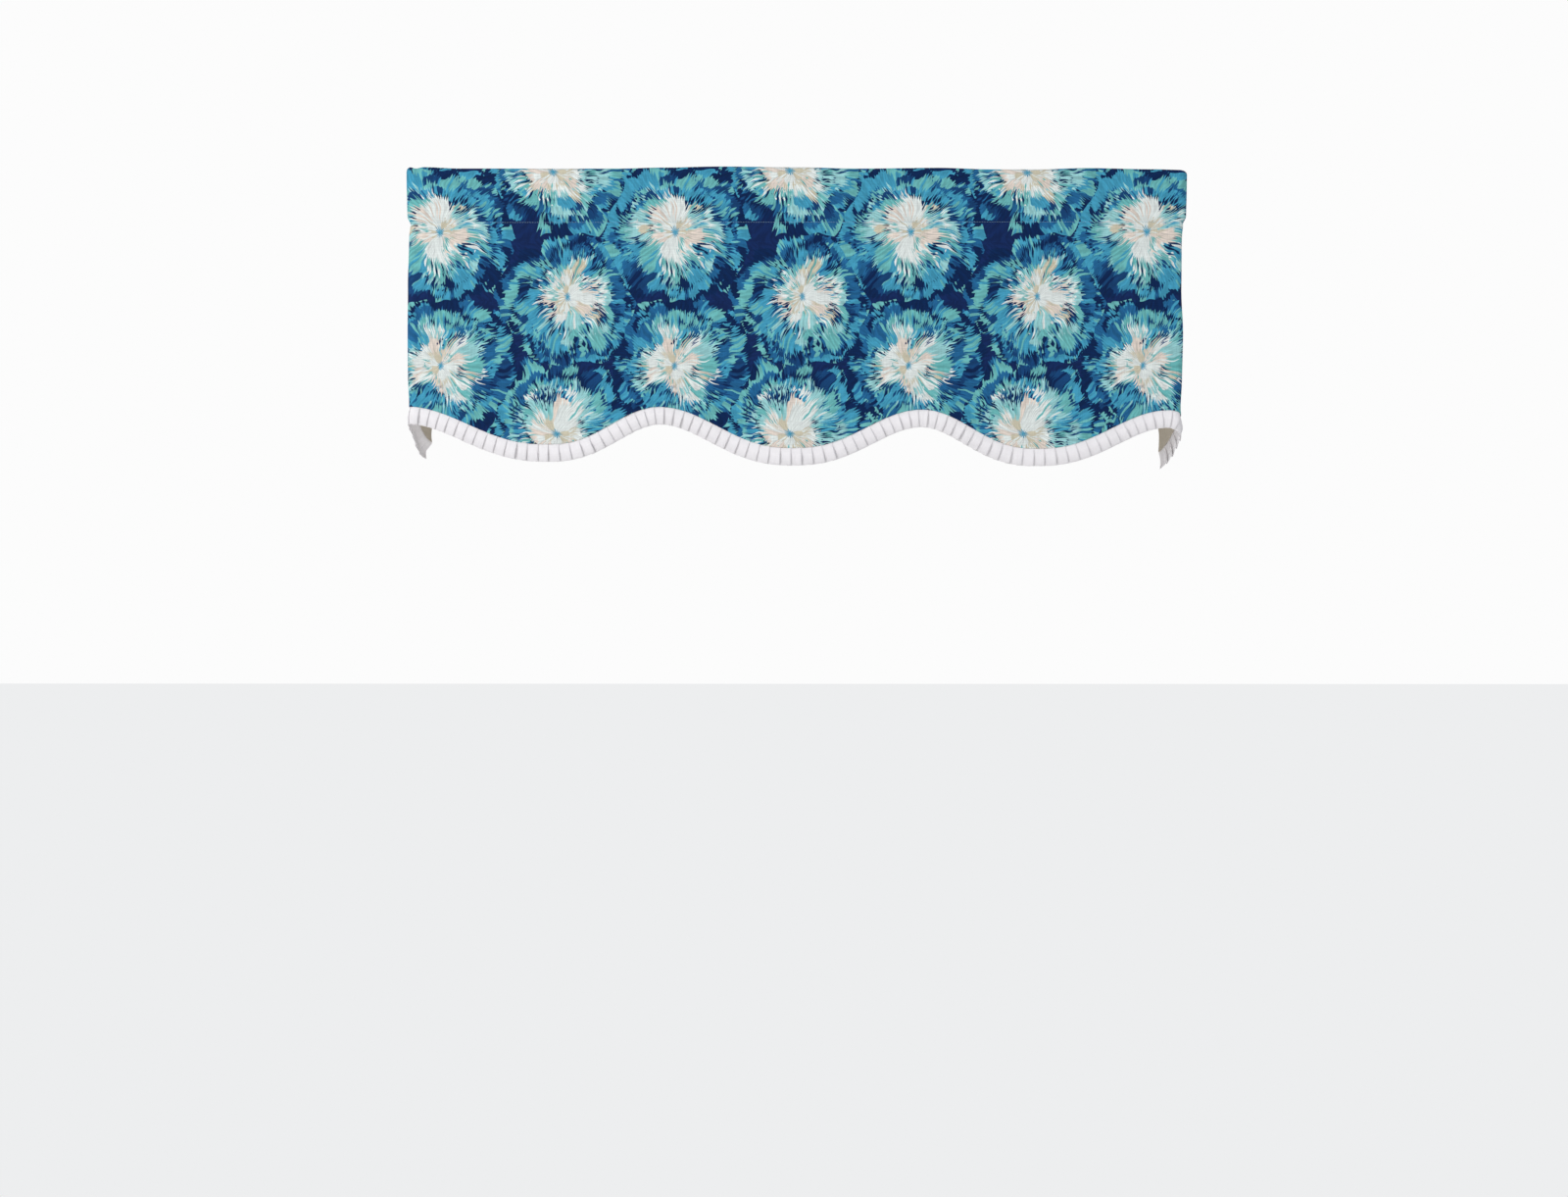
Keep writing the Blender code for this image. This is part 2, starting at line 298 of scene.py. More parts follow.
# %% Build a sheet
def add_sheet(name, grid, flat, thick, right, wrong):
    """A closed sheet. grid and flat hold each point's place in space and on the flat cloth, and
    thick its thickness. Returns the object and the flat area."""
    grid, flat, thick = np.array(grid, float), np.array(flat, float), np.array(thick, float)[..., None]
    rows, columns = grid.shape[:2]
    rim, faces = sheet_faces(rows, columns)
    normal = unit(np.cross(np.gradient(grid, axis=1), np.gradient(grid, axis=0)))
    points = grid.reshape(-1, 3)
    inner = np.clip(rim // columns, 1, rows - 2) * columns + np.clip(rim % columns, 1, columns - 2)
    edge = points[rim] + unit(points[rim] - points[inner]) * thick.reshape(-1, 1)[rim] / 2
    sides = ((grid + normal * thick / 2).reshape(-1, 3), (grid - normal * thick / 2).reshape(-1, 3))
    everything = np.concatenate((*sides, edge)).tolist()
    thing = place_mesh(name, everything, np.concatenate(faces).tolist(), (right, wrong))
    mesh = thing.data
    corner = np.zeros(len(mesh.loops), int)
    mesh.loops.foreach_get("vertex_index", corner)
    spread = flat.reshape(-1, 2)
    layer = mesh.uv_layers.new(name="flat_cloth")
    layer.data.foreach_set("uv", np.concatenate((spread, spread, spread[rim]))[corner].ravel())
    material = np.zeros(len(mesh.polygons), int)
    material[len(faces[0]):len(faces[0]) + len(faces[1])] = 1
    mesh.polygons.foreach_set("material_index", material)
    mesh.shade_smooth()
    mesh.validate()
    across = flat[:-1, 1:] - flat[:-1, :-1]
    down = flat[1:, :-1] - flat[:-1, :-1]
    area = float(np.abs(across[..., 0] * down[..., 1] - across[..., 1] * down[..., 0]).sum())
    print(f"{name}: {len(mesh.polygons)} faces, {area:.3f} m2 of flat cloth")
    return thing, area


print("a sheet has its right side's material first and its wrong side's second")

# %% [markdown]
# ## Colours and nodes
# Colours are written as a paint chart gives them, in sRGB hex, and turned into the linear values that
# a shader works with. One helper adds every node of every material.

# %% Colour and node helpers
MIX_COLOURS = (6, 7)       # input sockets of a Mix node that mixes colours


def colour(text):
    """An sRGB hex colour as linear red, green, blue and alpha."""
    values = [int(text[i:i + 2], 16) / 255 for i in (1, 3, 5)]
    return (*[v / 12.92 if v <= 0.04045 else ((v + 0.055) / 1.055) ** 2.4 for v in values], 1.0)


def add(tree, kind, inputs=None, **settings):
    """Adds a node. An input is a value, a socket, or a node whose first output in use is linked."""
    node = tree.nodes.new(kind)
    for name, value in settings.items():
        setattr(node, name, value)
    for socket, value in (inputs or {}).items():
        if isinstance(value, bpy.types.Node):
            value = next(output for output in value.outputs if output.enabled)
        if isinstance(value, bpy.types.NodeSocket):
            tree.links.new(value, node.inputs[socket])
        else:
            node.inputs[socket].default_value = value
    return node


def start_material(name):
    """A new material's node tree, its shader and the place on the flat cloth, in metres."""
    material = bpy.data.materials.new(name)
    material.use_nodes = True
    tree = material.node_tree
    return material, tree, tree.nodes["Principled BSDF"], add(tree, "ShaderNodeUVMap", uv_map="flat_cloth")


print("middle grey, linear:", [round(v, 3) for v in colour("#808080")[:3]])

# %% [markdown]
# ## Weave
# All three cloths are plain-woven cotton: each thread goes over one and under the next. Real threads
# here are about 0.4 mm apart, too fine for a picture of the whole valance, so they are drawn three
# times as coarse. Spun cotton also has slubs, which are thicker stretches that run with a thread; they
# are what shows from a step away. Threads as a mesh would be millions of faces, so the weave is relief
# in the material, and a group of nodes serves all the cloths.

# %% The weave as a node group
THREAD_PITCH = 0.0012      # drawn pitch; the real one is about 0.0004
SLUB_WIDTH, SLUB_LENGTH = 0.0016, 0.0250
CROSSING_RELIEF = 0.25     # how much the crossings count in the relief, beside the slubs

weave = bpy.data.node_groups.new("plain_weave", "ShaderNodeTree")
weave.interface.new_socket("Flat", in_out="INPUT", socket_type="NodeSocketVector")
for output in ("Height", "Slub"):
    weave.interface.new_socket(output, in_out="OUTPUT", socket_type="NodeSocketFloat")
flat_place = add(weave, "NodeGroupInput").outputs["Flat"]
threads = add(weave, "ShaderNodeVectorMath", {0: flat_place, 1: (2 * math.pi / THREAD_PITCH,) * 3},
              operation="MULTIPLY")
waves = add(weave, "ShaderNodeVectorMath", {0: threads}, operation="SINE")
warp_weft = add(weave, "ShaderNodeSeparateXYZ", {0: waves})
crossing = add(weave, "ShaderNodeMath", {0: warp_weft.outputs["X"], 1: warp_weft.outputs["Y"]},
               operation="MAXIMUM")
slubs = []
for size in ((SLUB_WIDTH, SLUB_LENGTH), (SLUB_LENGTH, SLUB_WIDTH)):
    scale = (1 / size[0], 1 / size[1], 1)
    stretched = add(weave, "ShaderNodeVectorMath", {0: flat_place, 1: scale}, operation="MULTIPLY")
    slubs.append(add(weave, "ShaderNodeTexNoise", {"Vector": stretched, "Scale": 1.0, "Detail": 2.0}))
both_slubs = add(weave, "ShaderNodeMath", {0: slubs[0], 1: slubs[1]}, operation="ADD")
relief = add(weave, "ShaderNodeMath", {0: crossing, 1: CROSSING_RELIEF, 2: both_slubs},
             operation="MULTIPLY_ADD")
add(weave, "NodeGroupOutput", {"Height": relief, "Slub": both_slubs})
print("weave:", len(weave.nodes), "nodes")

# %% [markdown]
# ## Weave and slubs on a cloth
# The threads do two things for the eye. Their relief breaks up the light close by, and the thick slubs
# stand out a little lighter than the thin threads, which is all that is left of the weave from further
# off. The two need the same noise, so one helper gives a shader both.

# %% The weave in a material
SLUB_RANGE = (0.7, 1.3)    # the two slub noises together, from a thin thread to a thick one


def weave_in(tree, shader, flat, tint, depth, slub_tint):
    """Gives a shader its colour with slubs in it, and the weave's relief, `depth` metres deep."""
    threads = add(tree, "ShaderNodeGroup", {"Flat": flat}, node_tree=weave)
    thin, thick = SLUB_RANGE
    shade = add(tree, "ShaderNodeMapRange", {0: threads.outputs["Slub"], 1: thin, 2: thick,
                                             3: 1 - slub_tint, 4: 1 + slub_tint})
    tinted = add(tree, "ShaderNodeVectorMath", {0: tint, "Scale": shade}, operation="SCALE")
    tree.links.new(tinted.outputs["Vector"], shader.inputs["Base Color"])
    bump = add(tree, "ShaderNodeBump", {"Height": threads.outputs["Height"], "Strength": 1.0,
                                        "Distance": depth})
    tree.links.new(bump.outputs["Normal"], shader.inputs["Normal"])


print(f"threads drawn every {THREAD_PITCH * 1000:.1f} mm, slubs {SLUB_LENGTH * 1000:.0f} mm long")

# %% [markdown]
# ## The print: rings
# The cloth is printed with big ragged blooms in flat colours, as if dabbed on with a brush. Every bloom
# is a stack of rings, the widest at the bottom. A ring is either petals, whose rims end in a fringe of
# pointed strokes, or loose dashes. Both cut the full turn into parts and roll a chance number for each
# part, so they share their inputs: the turn is given from -0.5 to 0.5, and lengths are shares of the
# bloom's radius. Both answer whether a point is inked, and with which chance number its ink is picked.
# An image would blur close up; what is worked out by nodes stays sharp at any distance.

# %% What both kinds of ring share
RING_INPUTS = ("Turn", "Radius", "Bloom", "Ring", "Reach", "Parts", "Strokes", "Length", "Spread", "Share")
STROKE_MIX = 0.24          # share of the inks that the strokes of one petal vary by


def start_ring(name):
    """A node group with a ring's inputs and outputs. Returns it with its given inputs."""
    group = bpy.data.node_groups.new(name, "ShaderNodeTree")
    for socket in RING_INPUTS:
        group.interface.new_socket(socket, in_out="INPUT", socket_type="NodeSocketFloat")
    for socket in ("Inside", "Pick"):
        group.interface.new_socket(socket, in_out="OUTPUT", socket_type="NodeSocketFloat")
    return group, add(group, "NodeGroupInput").outputs


def divide_turn(group, given, count, shift):
    """Cuts the full turn into so many parts. Returns three chance numbers of the part that a point is
    in, and how far through that part it is, from 0 to 1."""
    start = add(group, "ShaderNodeMath", {0: given["Ring"], 1: shift}, operation="MULTIPLY")
    place = add(group, "ShaderNodeMath", {0: given["Turn"], 1: count, 2: start}, operation="MULTIPLY_ADD")
    whole = add(group, "ShaderNodeMath", {0: place}, operation="FLOOR")
    number = add(group, "ShaderNodeMath", {0: whole, 1: count}, operation="FLOORED_MODULO")
    key = add(group, "ShaderNodeCombineXYZ", {"X": number, "Y": start, "Z": given["Bloom"]})
    dice = add(group, "ShaderNodeTexWhiteNoise", {"Vector": key}, noise_dimensions="3D")
    part = add(group, "ShaderNodeMath", {0: place}, operation="FRACT")
    return add(group, "ShaderNodeSeparateColor", {0: dice.outputs["Color"]}).outputs, part


def rise_in(group, part):
    """A rise from 0 at one side of a part to 1 in its middle, and back."""
    rise = add(group, "ShaderNodeMath", {0: part, 1: 0.5}, operation="PINGPONG")
    return add(group, "ShaderNodeMath", {0: rise, 1: 2.0}, operation="MULTIPLY")


def pick_ink(group, of_part, of_stroke):
    """A chance number for the ink: the part's own, with a share of the stroke's."""
    mixed = add(group, "ShaderNodeMath", {0: of_stroke, 1: STROKE_MIX, 2: of_part}, operation="MULTIPLY_ADD")
    return add(group, "ShaderNodeMath", {0: mixed}, operation="FRACT")


print("a ring's inputs:", ", ".join(RING_INPUTS))

# %% [markdown]
# ## The print: a ring of petals
# A petal is a part of the turn that is inked from the middle out to its rim. Its chance numbers say how
# far out the rim is and whether the petal is there at all, the gaps between petals cut in, and every
# stroke adds a pointed tip of its own length.

# %% Node group for a ring of petals
PETAL_SHIFTS = (0.37, 0.61)    # each ring's petals and strokes start this share of one further round
ROUNDNESS = 0.5            # power of a petal's rim: 1 would be a point
LOBE = 0.080               # how far the gaps between the petals cut in

petals, given = start_ring("ring_of_petals")
petal_chance, petal_part = divide_turn(petals, given, given["Parts"], PETAL_SHIFTS[0])
stroke_chance, stroke_part = divide_turn(petals, given, given["Strokes"], PETAL_SHIFTS[1])
reach = add(petals, "ShaderNodeMath", {0: petal_chance[0], 1: given["Spread"], 2: given["Reach"]},
            operation="MULTIPLY_ADD")
rounded = add(petals, "ShaderNodeMath", {0: rise_in(petals, petal_part), 1: ROUNDNESS}, operation="POWER")
lobed = add(petals, "ShaderNodeMath", {0: rounded, 1: LOBE, 2: reach}, operation="MULTIPLY_ADD")
stroke = add(petals, "ShaderNodeMath", {0: stroke_chance[0], 1: rise_in(petals, stroke_part)},
             operation="MULTIPLY")
fringed = add(petals, "ShaderNodeMath", {0: stroke, 1: given["Length"], 2: lobed}, operation="MULTIPLY_ADD")
there = add(petals, "ShaderNodeMath", {0: petal_chance[1], 1: given["Share"]}, operation="LESS_THAN")
rim = add(petals, "ShaderNodeMath", {0: fringed, 1: there}, operation="MULTIPLY")
inked = add(petals, "ShaderNodeMath", {0: given["Radius"], 1: rim}, operation="LESS_THAN")
pick = pick_ink(petals, petal_chance[2], stroke_chance[1])
add(petals, "NodeGroupOutput", {"Inside": inked, "Pick": pick})
print("petals:", len(petals.nodes), "nodes")

# %% [markdown]
# ## The print: a ring of dashes
# Dashes are single strokes that touch nothing, in tufts. A dash is inked where a point is less than half
# its length from its middle, and that half length shrinks towards its two sides, which makes the dash a
# spindle.

# %% Node group for a ring of dashes
DASH_SHIFTS = (0.29, 0.83)

dashes, given = start_ring("ring_of_dashes")
tuft_chance, _ = divide_turn(dashes, given, given["Parts"], DASH_SHIFTS[0])
dash_chance, dash_part = divide_turn(dashes, given, given["Strokes"], DASH_SHIFTS[1])
reach = add(dashes, "ShaderNodeMath", {0: tuft_chance[0], 1: given["Spread"], 2: given["Reach"]},
            operation="MULTIPLY_ADD")
middle = add(dashes, "ShaderNodeMath", {0: dash_chance[0], 1: given["Length"], 2: reach},
             operation="MULTIPLY_ADD")
off = add(dashes, "ShaderNodeMath", {0: given["Radius"], 1: middle}, operation="SUBTRACT")
off = add(dashes, "ShaderNodeMath", {0: off}, operation="ABSOLUTE")
half = add(dashes, "ShaderNodeMath", {0: given["Length"], 1: rise_in(dashes, dash_part)},
           operation="MULTIPLY")
half = add(dashes, "ShaderNodeMath", {0: half, 1: dash_chance[1]}, operation="MULTIPLY")
there = add(dashes, "ShaderNodeMath", {0: tuft_chance[1], 1: given["Share"]}, operation="LESS_THAN")
half = add(dashes, "ShaderNodeMath", {0: half, 1: there}, operation="MULTIPLY")
inked = add(dashes, "ShaderNodeMath", {0: off, 1: half}, operation="LESS_THAN")
pick = pick_ink(dashes, tuft_chance[2], dash_chance[2])
add(dashes, "NodeGroupOutput", {"Inside": inked, "Pick": pick})
print("dashes:", len(dashes.nodes), "nodes")

# %% [markdown]
# ## The print: no true circles
# A printed cloth repeats. If its flat measure is bent by a noise before anything is drawn, no outline is
# a true circle. The noise has to repeat with the cloth: it is read along two circles, one turn of each
# for one repeat, and that takes four dimensions.

# %% Bend the flat measure
REPEAT = (0.338, 0.372)    # width and length of the repeat
WANDER = 0.036             # how far the noise moves a point, at most about a third of it, in metres
WANDER_SCALE = 1.1         # bends in a turn of the noise's circles


def bend(tree, flat):
    """The flat cloth's measure, bent by a noise that repeats with the print."""
    turns = [2 * math.pi / length for length in REPEAT] + [0]
    turned = add(tree, "ShaderNodeVectorMath", {0: flat, 1: turns}, operation="MULTIPLY")
    waves = []
    for operation in ("COSINE", "SINE"):
        wave = add(tree, "ShaderNodeVectorMath", {0: turned}, operation=operation)
        waves.append(add(tree, "ShaderNodeSeparateXYZ", {0: wave}).outputs)
    ring = add(tree, "ShaderNodeCombineXYZ", {"X": waves[0]["X"], "Y": waves[1]["X"], "Z": waves[0]["Y"]})
    wobble = add(tree, "ShaderNodeTexNoise", {"Vector": ring, "W": waves[1]["Y"], "Scale": WANDER_SCALE,
                                              "Detail": 2.0, "Roughness": 0.45}, noise_dimensions="4D")
    wobble = add(tree, "ShaderNodeVectorMath", {0: wobble.outputs["Color"], 1: (0.5, 0.5, 0.5)},
                 operation="SUBTRACT")
    return add(tree, "ShaderNodeVectorMath", {0: wobble, 1: (WANDER, WANDER, 0), 2: flat},
               operation="MULTIPLY_ADD")


print(f"the print repeats every {REPEAT[0] * 1000:.0f} mm across and {REPEAT[1] * 1000:.0f} mm up")

# %% [markdown]
# ## The print: where the blooms stand
# The repeat holds four blooms of different sizes, in columns that step half a drop. For every point the
# nodes find the bloom that is nearest for its size, and give the way from its centre as a share of its
# radius, with the bloom's own number in Z. Neighbours meet half-way, so no bloom lies over another.

# %% Find the nearest bloom
BLOOMS = (                 # across, up, radius, number
    (0.000, 0.000, 0.0960, 3.0),
    (0.010, 0.184, 0.0900, 11.0),
    (0.172, 0.090, 0.0930, 17.0),
    (0.163, 0.279, 0.0980, 29.0),
)
MIX_VECTORS = (4, 5)       # input sockets of a Mix node that mixes vectors


def nearest_bloom(tree, flat):
    """The way from the nearest bloom's centre, in radii, with the bloom's number in Z."""
    half = (REPEAT[0] / 2, REPEAT[1] / 2, 1.0)
    nearest, closest = None, None
    for across, up, radius, number in BLOOMS:
        away = add(tree, "ShaderNodeVectorMath", {0: flat, 1: (across, up, 0)}, operation="SUBTRACT")
        away = add(tree, "ShaderNodeVectorMath", {0: away, 1: half, 2: [-h for h in half]}, operation="WRAP")
        away = add(tree, "ShaderNodeVectorMath", {0: away, 1: (1 / radius, 1 / radius, 0)},
                   operation="MULTIPLY")
        distance = add(tree, "ShaderNodeVectorMath", {0: away}, operation="LENGTH").outputs["Value"]
        away = add(tree, "ShaderNodeVectorMath", {0: away, 1: (0, 0, number)}, operation="ADD")
        if nearest is None:
            nearest, closest = away, distance
            continue
        closer = add(tree, "ShaderNodeMath", {0: distance, 1: closest}, operation="LESS_THAN")
        first, second = MIX_VECTORS
        nearest = add(tree, "ShaderNodeMix", {0: closer, first: nearest, second: away}, data_type="VECTOR")
        closest = add(tree, "ShaderNodeMath", {0: distance, 1: closest}, operation="MINIMUM")
    return nearest


print("blooms in a repeat:", len(BLOOMS))

# %% [markdown]
# ## The print: the colours of a bloom
# From the rim inwards: loose tufts on the dark ground, blue and teal petals with dark gaps, seafoam
# petals, a few dark dashes, and a cream heart with beige shades and a small eye. Each ring rolls for
# its own petals, and their strokes stray a little from the petal's ink, so no two blooms are alike. The
# inks are few and flat, as in a print that is made with one screen for each of them.

# %% Inks and rings
GROUND, NAVY, DENIM, BLUE, TEAL = "#0c2554", "#02224d", "#113f6e", "#1f5f8d", "#4095b3"
SEAFOAM, MINT, CREAM = "#67b0af", "#92c6c7", "#d9dfdb"
BEIGE, BLUSH = "#c6bfa8", "#d9cdc1"
RINGS = (                  # kind, reach, parts, strokes, length, spread, share of parts there, inks
    (petals, 1.01, 25, 166, 0.08, 0.10, 0.50, (TEAL, SEAFOAM, BLUE)),
    (petals, 0.95, 21, 161, 0.08, 0.10, 0.78, (NAVY,)),
    (petals, 0.89, 23, 157, 0.09, 0.10, 0.76, (TEAL, BLUE, SEAFOAM, TEAL)),
    (petals, 0.84, 19, 151, 0.09, 0.10, 0.58, (NAVY, DENIM, NAVY)),
    (petals, 0.79, 21, 148, 0.09, 0.11, 0.76, (BLUE, TEAL, TEAL, SEAFOAM)),
    (petals, 0.73, 17, 143, 0.09, 0.10, 0.50, (DENIM, NAVY, BLUE)),
    (petals, 0.68, 19, 139, 0.10, 0.12, 0.76, (TEAL, BLUE, SEAFOAM)),
    (dashes, 0.64, 12, 134, 0.12, 0.14, 0.60, (NAVY, DENIM, NAVY)),
    (petals, 0.59, 16, 129, 0.11, 0.12, 0.78, (SEAFOAM, TEAL, SEAFOAM, MINT)),
    (dashes, 0.53, 12, 124, 0.13, 0.12, 0.55, (NAVY, BLUE, DENIM, MINT)),
    (petals, 0.51, 19, 121, 0.11, 0.12, 0.45, (BLUE, TEAL, DENIM)),
    (petals, 0.46, 14, 116, 0.13, 0.12, 0.80, (MINT, SEAFOAM, TEAL, MINT)),
    (dashes, 0.40, 13, 111, 0.15, 0.10, 0.60, (NAVY, TEAL, CREAM, NAVY)),
    (petals, 0.40, 17, 106, 0.13, 0.12, 0.36, (CREAM, BEIGE, SEAFOAM)),
    (dashes, 0.34, 13, 101, 0.14, 0.12, 0.45, (NAVY, DENIM, CREAM)),
    (petals, 0.29, 12, 97, 0.15, 0.13, 0.80, (CREAM, MINT, BLUSH, CREAM)),
    (dashes, 0.25, 11, 90, 0.13, 0.10, 0.45, (NAVY, TEAL, SEAFOAM)),
    (petals, 0.20, 10, 84, 0.14, 0.12, 0.85, (CREAM, CREAM, BLUSH)),
    (dashes, 0.13, 8, 70, 0.11, 0.06, 0.60, (BEIGE, SEAFOAM, BEIGE)),
    (petals, 0.10, 7, 58, 0.07, 0.06, 0.85, (CREAM, BEIGE)),
    (petals, -0.02, 16, 40, 0.03, 0.02, 1.00, (TEAL,)),
)


def ink_rings(tree, turn, radius, number):
    """The bloom's rings, each inked over the ones before it, on the dark ground."""
    drawn = add(tree, "ShaderNodeRGB")
    drawn.outputs[0].default_value = colour(GROUND)
    first, second = MIX_COLOURS
    for i, (kind, *numbers, inks) in enumerate(RINGS):
        values = dict(zip(RING_INPUTS, (turn, radius, number, i + 1.0, *numbers)))
        ring = add(tree, "ShaderNodeGroup", values, node_tree=kind)
        ink = add(tree, "ShaderNodeValToRGB", {0: ring.outputs["Pick"]})
        ink.color_ramp.interpolation = "CONSTANT"
        for j, text in enumerate(inks):
            stop = ink.color_ramp.elements[0] if j == 0 else ink.color_ramp.elements.new(j / len(inks))
            stop.color = colour(text)
        ink.color_ramp.elements.remove(ink.color_ramp.elements[len(inks)])
        drawn = add(tree, "ShaderNodeMix", {0: ring.outputs["Inside"], first: drawn, second: ink},
                    data_type="RGBA")
    return drawn


print(f"{len(RINGS)} rings, {len({ink for *_, inks in RINGS for ink in inks})} inks on the ground colour")

# %% [markdown]
# ## The print: hearts off the middle, and brush streaks
# The heart stands a little off the middle, another way in each bloom: the nearer a point is to the
# middle, the more it is moved. Last, fine streaks along the strokes make each ink a little lighter or
# darker, as ink dragged by a brush is.

# %% The print's colour
HEART_SHIFT = 0.30         # how far off the middle a heart may stand, at most about half of it
STREAKS = (75.0, 5.0)      # streaks in half a turn, and along a radius
STREAK_RANGE = (0.4, 0.6)  # the noise from the dark of a streak to the light
STREAK_TINT = 0.16


def from_heart(tree, place, number):
    """The way from the bloom's heart, in radii."""
    level = add(tree, "ShaderNodeVectorMath", {0: place, 1: (1, 1, 0)}, operation="MULTIPLY")
    distance = add(tree, "ShaderNodeVectorMath", {0: level}, operation="LENGTH").outputs["Value"]
    inward = add(tree, "ShaderNodeMath", {0: 1.0, 1: distance}, operation="SUBTRACT", use_clamp=True)
    dice = add(tree, "ShaderNodeTexWhiteNoise", {"W": number}, noise_dimensions="1D")
    shift = add(tree, "ShaderNodeVectorMath", {0: dice.outputs["Color"], 1: (0.5, 0.5, 0.5)},
                operation="SUBTRACT")
    shift = add(tree, "ShaderNodeVectorMath", {0: shift, 1: (HEART_SHIFT, HEART_SHIFT, 0)},
                operation="MULTIPLY")
    shift = add(tree, "ShaderNodeVectorMath", {0: shift, "Scale": inward}, operation="SCALE")
    return add(tree, "ShaderNodeVectorMath", {0: level, 1: shift}, operation="ADD")


def streak_shade(tree, angle, radius, number):
    """How much lighter or darker the ink is."""
    around = add(tree, "ShaderNodeMath", {0: angle, 1: STREAKS[0] / math.pi}, operation="MULTIPLY")
    outward = add(tree, "ShaderNodeMath", {0: radius, 1: STREAKS[1]}, operation="MULTIPLY")
    streak = add(tree, "ShaderNodeCombineXYZ", {"X": around, "Y": outward, "Z": number})
    streak = add(tree, "ShaderNodeTexNoise", {"Vector": streak, "Scale": 1.0, "Detail": 2.0})
    dark, light = STREAK_RANGE
    return add(tree, "ShaderNodeMapRange", {0: streak, 1: dark, 2: light, 3: 1 - STREAK_TINT,
                                            4: 1 + STREAK_TINT})


def print_colour(tree, flat):
    """The print's colour at a place on the flat cloth."""
    place = nearest_bloom(tree, bend(tree, flat))
    number = add(tree, "ShaderNodeSeparateXYZ", {0: place}).outputs["Z"]
    level = from_heart(tree, place, number)
    parts = add(tree, "ShaderNodeSeparateXYZ", {0: level}).outputs
    radius = add(tree, "ShaderNodeVectorMath", {0: level}, operation="LENGTH").outputs["Value"]
    angle = add(tree, "ShaderNodeMath", {0: parts["Y"], 1: parts["X"]}, operation="ARCTAN2")
    turn = add(tree, "ShaderNodeMath", {0: angle, 1: 1 / (2 * math.pi)}, operation="MULTIPLY")
    drawn = ink_rings(tree, turn, radius, number)
    shade = streak_shade(tree, angle, radius, number)
    return add(tree, "ShaderNodeVectorMath", {0: drawn, "Scale": shade}, operation="SCALE")


print(f"a heart is off the middle by {HEART_SHIFT / 2:.0%} of the radius at most, each way")

# %% [markdown]
# ## Printed cotton and its wrong side
# Plain-woven cotton has no gloss but a faint bloom at its edges, where stray fibres catch the light:
# high roughness with a little sheen. Cotton's IOR is about 1.5. The pigment lies on the right side and
# fills the weave there. It goes only part of the way through, so the wrong side is a paler copy of the
# same print, mixed with the bare cotton's own colour.

# %% Printed plain-weave cotton
COTTON_IOR = 1.5
FIBRE_GLOSS = 0.15         # between the threads, most of the gloss is lost: less than half of the usual 0.5
SHEEN_ROUGHNESS = 0.5
PRINT_RELIEF = 0.00012     # depth of the weave, in metres
BARE_COTTON = "#e9e4da"
NOT_THROUGH = 0.62         # share of the bare cotton's colour on the wrong side


def finish_cotton(shader, roughness, sheen):
    """The gloss of matt cotton."""
    shader.inputs["IOR"].default_value = COTTON_IOR
    shader.inputs["Specular IOR Level"].default_value = FIBRE_GLOSS
    shader.inputs["Roughness"].default_value = roughness
    shader.inputs["Sheen Weight"].default_value = sheen
    shader.inputs["Sheen Roughness"].default_value = SHEEN_ROUGHNESS


# Right side: deep, clear inks, and the threads only just seen
printed, tree, shader, flat = start_material("printed_plain_weave_cotton")
finish_cotton(shader, roughness=0.88, sheen=0.02)
weave_in(tree, shader, flat, print_colour(tree, flat), depth=PRINT_RELIEF, slub_tint=0.10)

# Wrong side: milky, and more matt, since no pigment binds its fibres
wrong_side, tree, shader, flat = start_material("printed_cotton_wrong_side")
finish_cotton(shader, roughness=0.92, sheen=0.05)
first, second = MIX_COLOURS
paler = add(tree, "ShaderNodeMix", {0: NOT_THROUGH, first: print_colour(tree, flat),
                                    second: colour(BARE_COTTON)}, data_type="RGBA")
weave_in(tree, shader, flat, paler, depth=PRINT_RELIEF, slub_tint=0.08)
print("printed cotton:", len(printed.node_tree.nodes), "nodes")

# %% [markdown]
# ## The plain cottons
# The lining is unbleached cotton, so it is creamier and duller than white, and its slubs show a little.
# The edging is bleached and pressed, which makes it the whitest and the smoothest. Towards its free
# edge it has painted shade: a touch greyer, standing in for the shade that falls where the pleats open.
# The sewing thread is spun cotton in a pale blue between the print's inks, smoother than the cloths
# but with more stray fibres. All three drift softly between two close shades, as every dyed or bleached
# cloth does.

# %% Lining cotton, bleached cotton and sewing thread
DRIFT_SCALE = 14.0         # drifts in a metre
# painted shade: over this stretch the edging's colour darkens towards its free edge
EDGE_PAINTED_SHADE = (-0.0240, -0.0110)   # stretch below the seam in which the edging turns greyer


def plain_cotton(name, dark, light, roughness, sheen, relief, slub_tint, painted_shade=0.0):
    """A plain cotton whose colour drifts between two shades, with optional painted shade at its lower edge.
    """
    material, tree, shader, flat = start_material(name)
    finish_cotton(shader, roughness, sheen)
    drift = add(tree, "ShaderNodeTexNoise", {"Vector": flat, "Scale": DRIFT_SCALE, "Detail": 2.0})
    first, second = MIX_COLOURS
    tint = add(tree, "ShaderNodeMix", {0: drift, first: colour(dark), second: colour(light)},
               data_type="RGBA")
    # painted shade: darker towards the lower edge, standing in for the shade between the opening pleats
    if painted_shade:
        up = add(tree, "ShaderNodeSeparateXYZ", {0: flat}).outputs["Y"]
        low, high = EDGE_PAINTED_SHADE
        grey = add(tree, "ShaderNodeMapRange", {0: up, 1: low, 2: high, 3: 1 - painted_shade, 4: 1.0})
        tint = add(tree, "ShaderNodeVectorMath", {0: tint, "Scale": grey}, operation="SCALE")
    weave_in(tree, shader, flat, tint, relief, slub_tint)
    return material


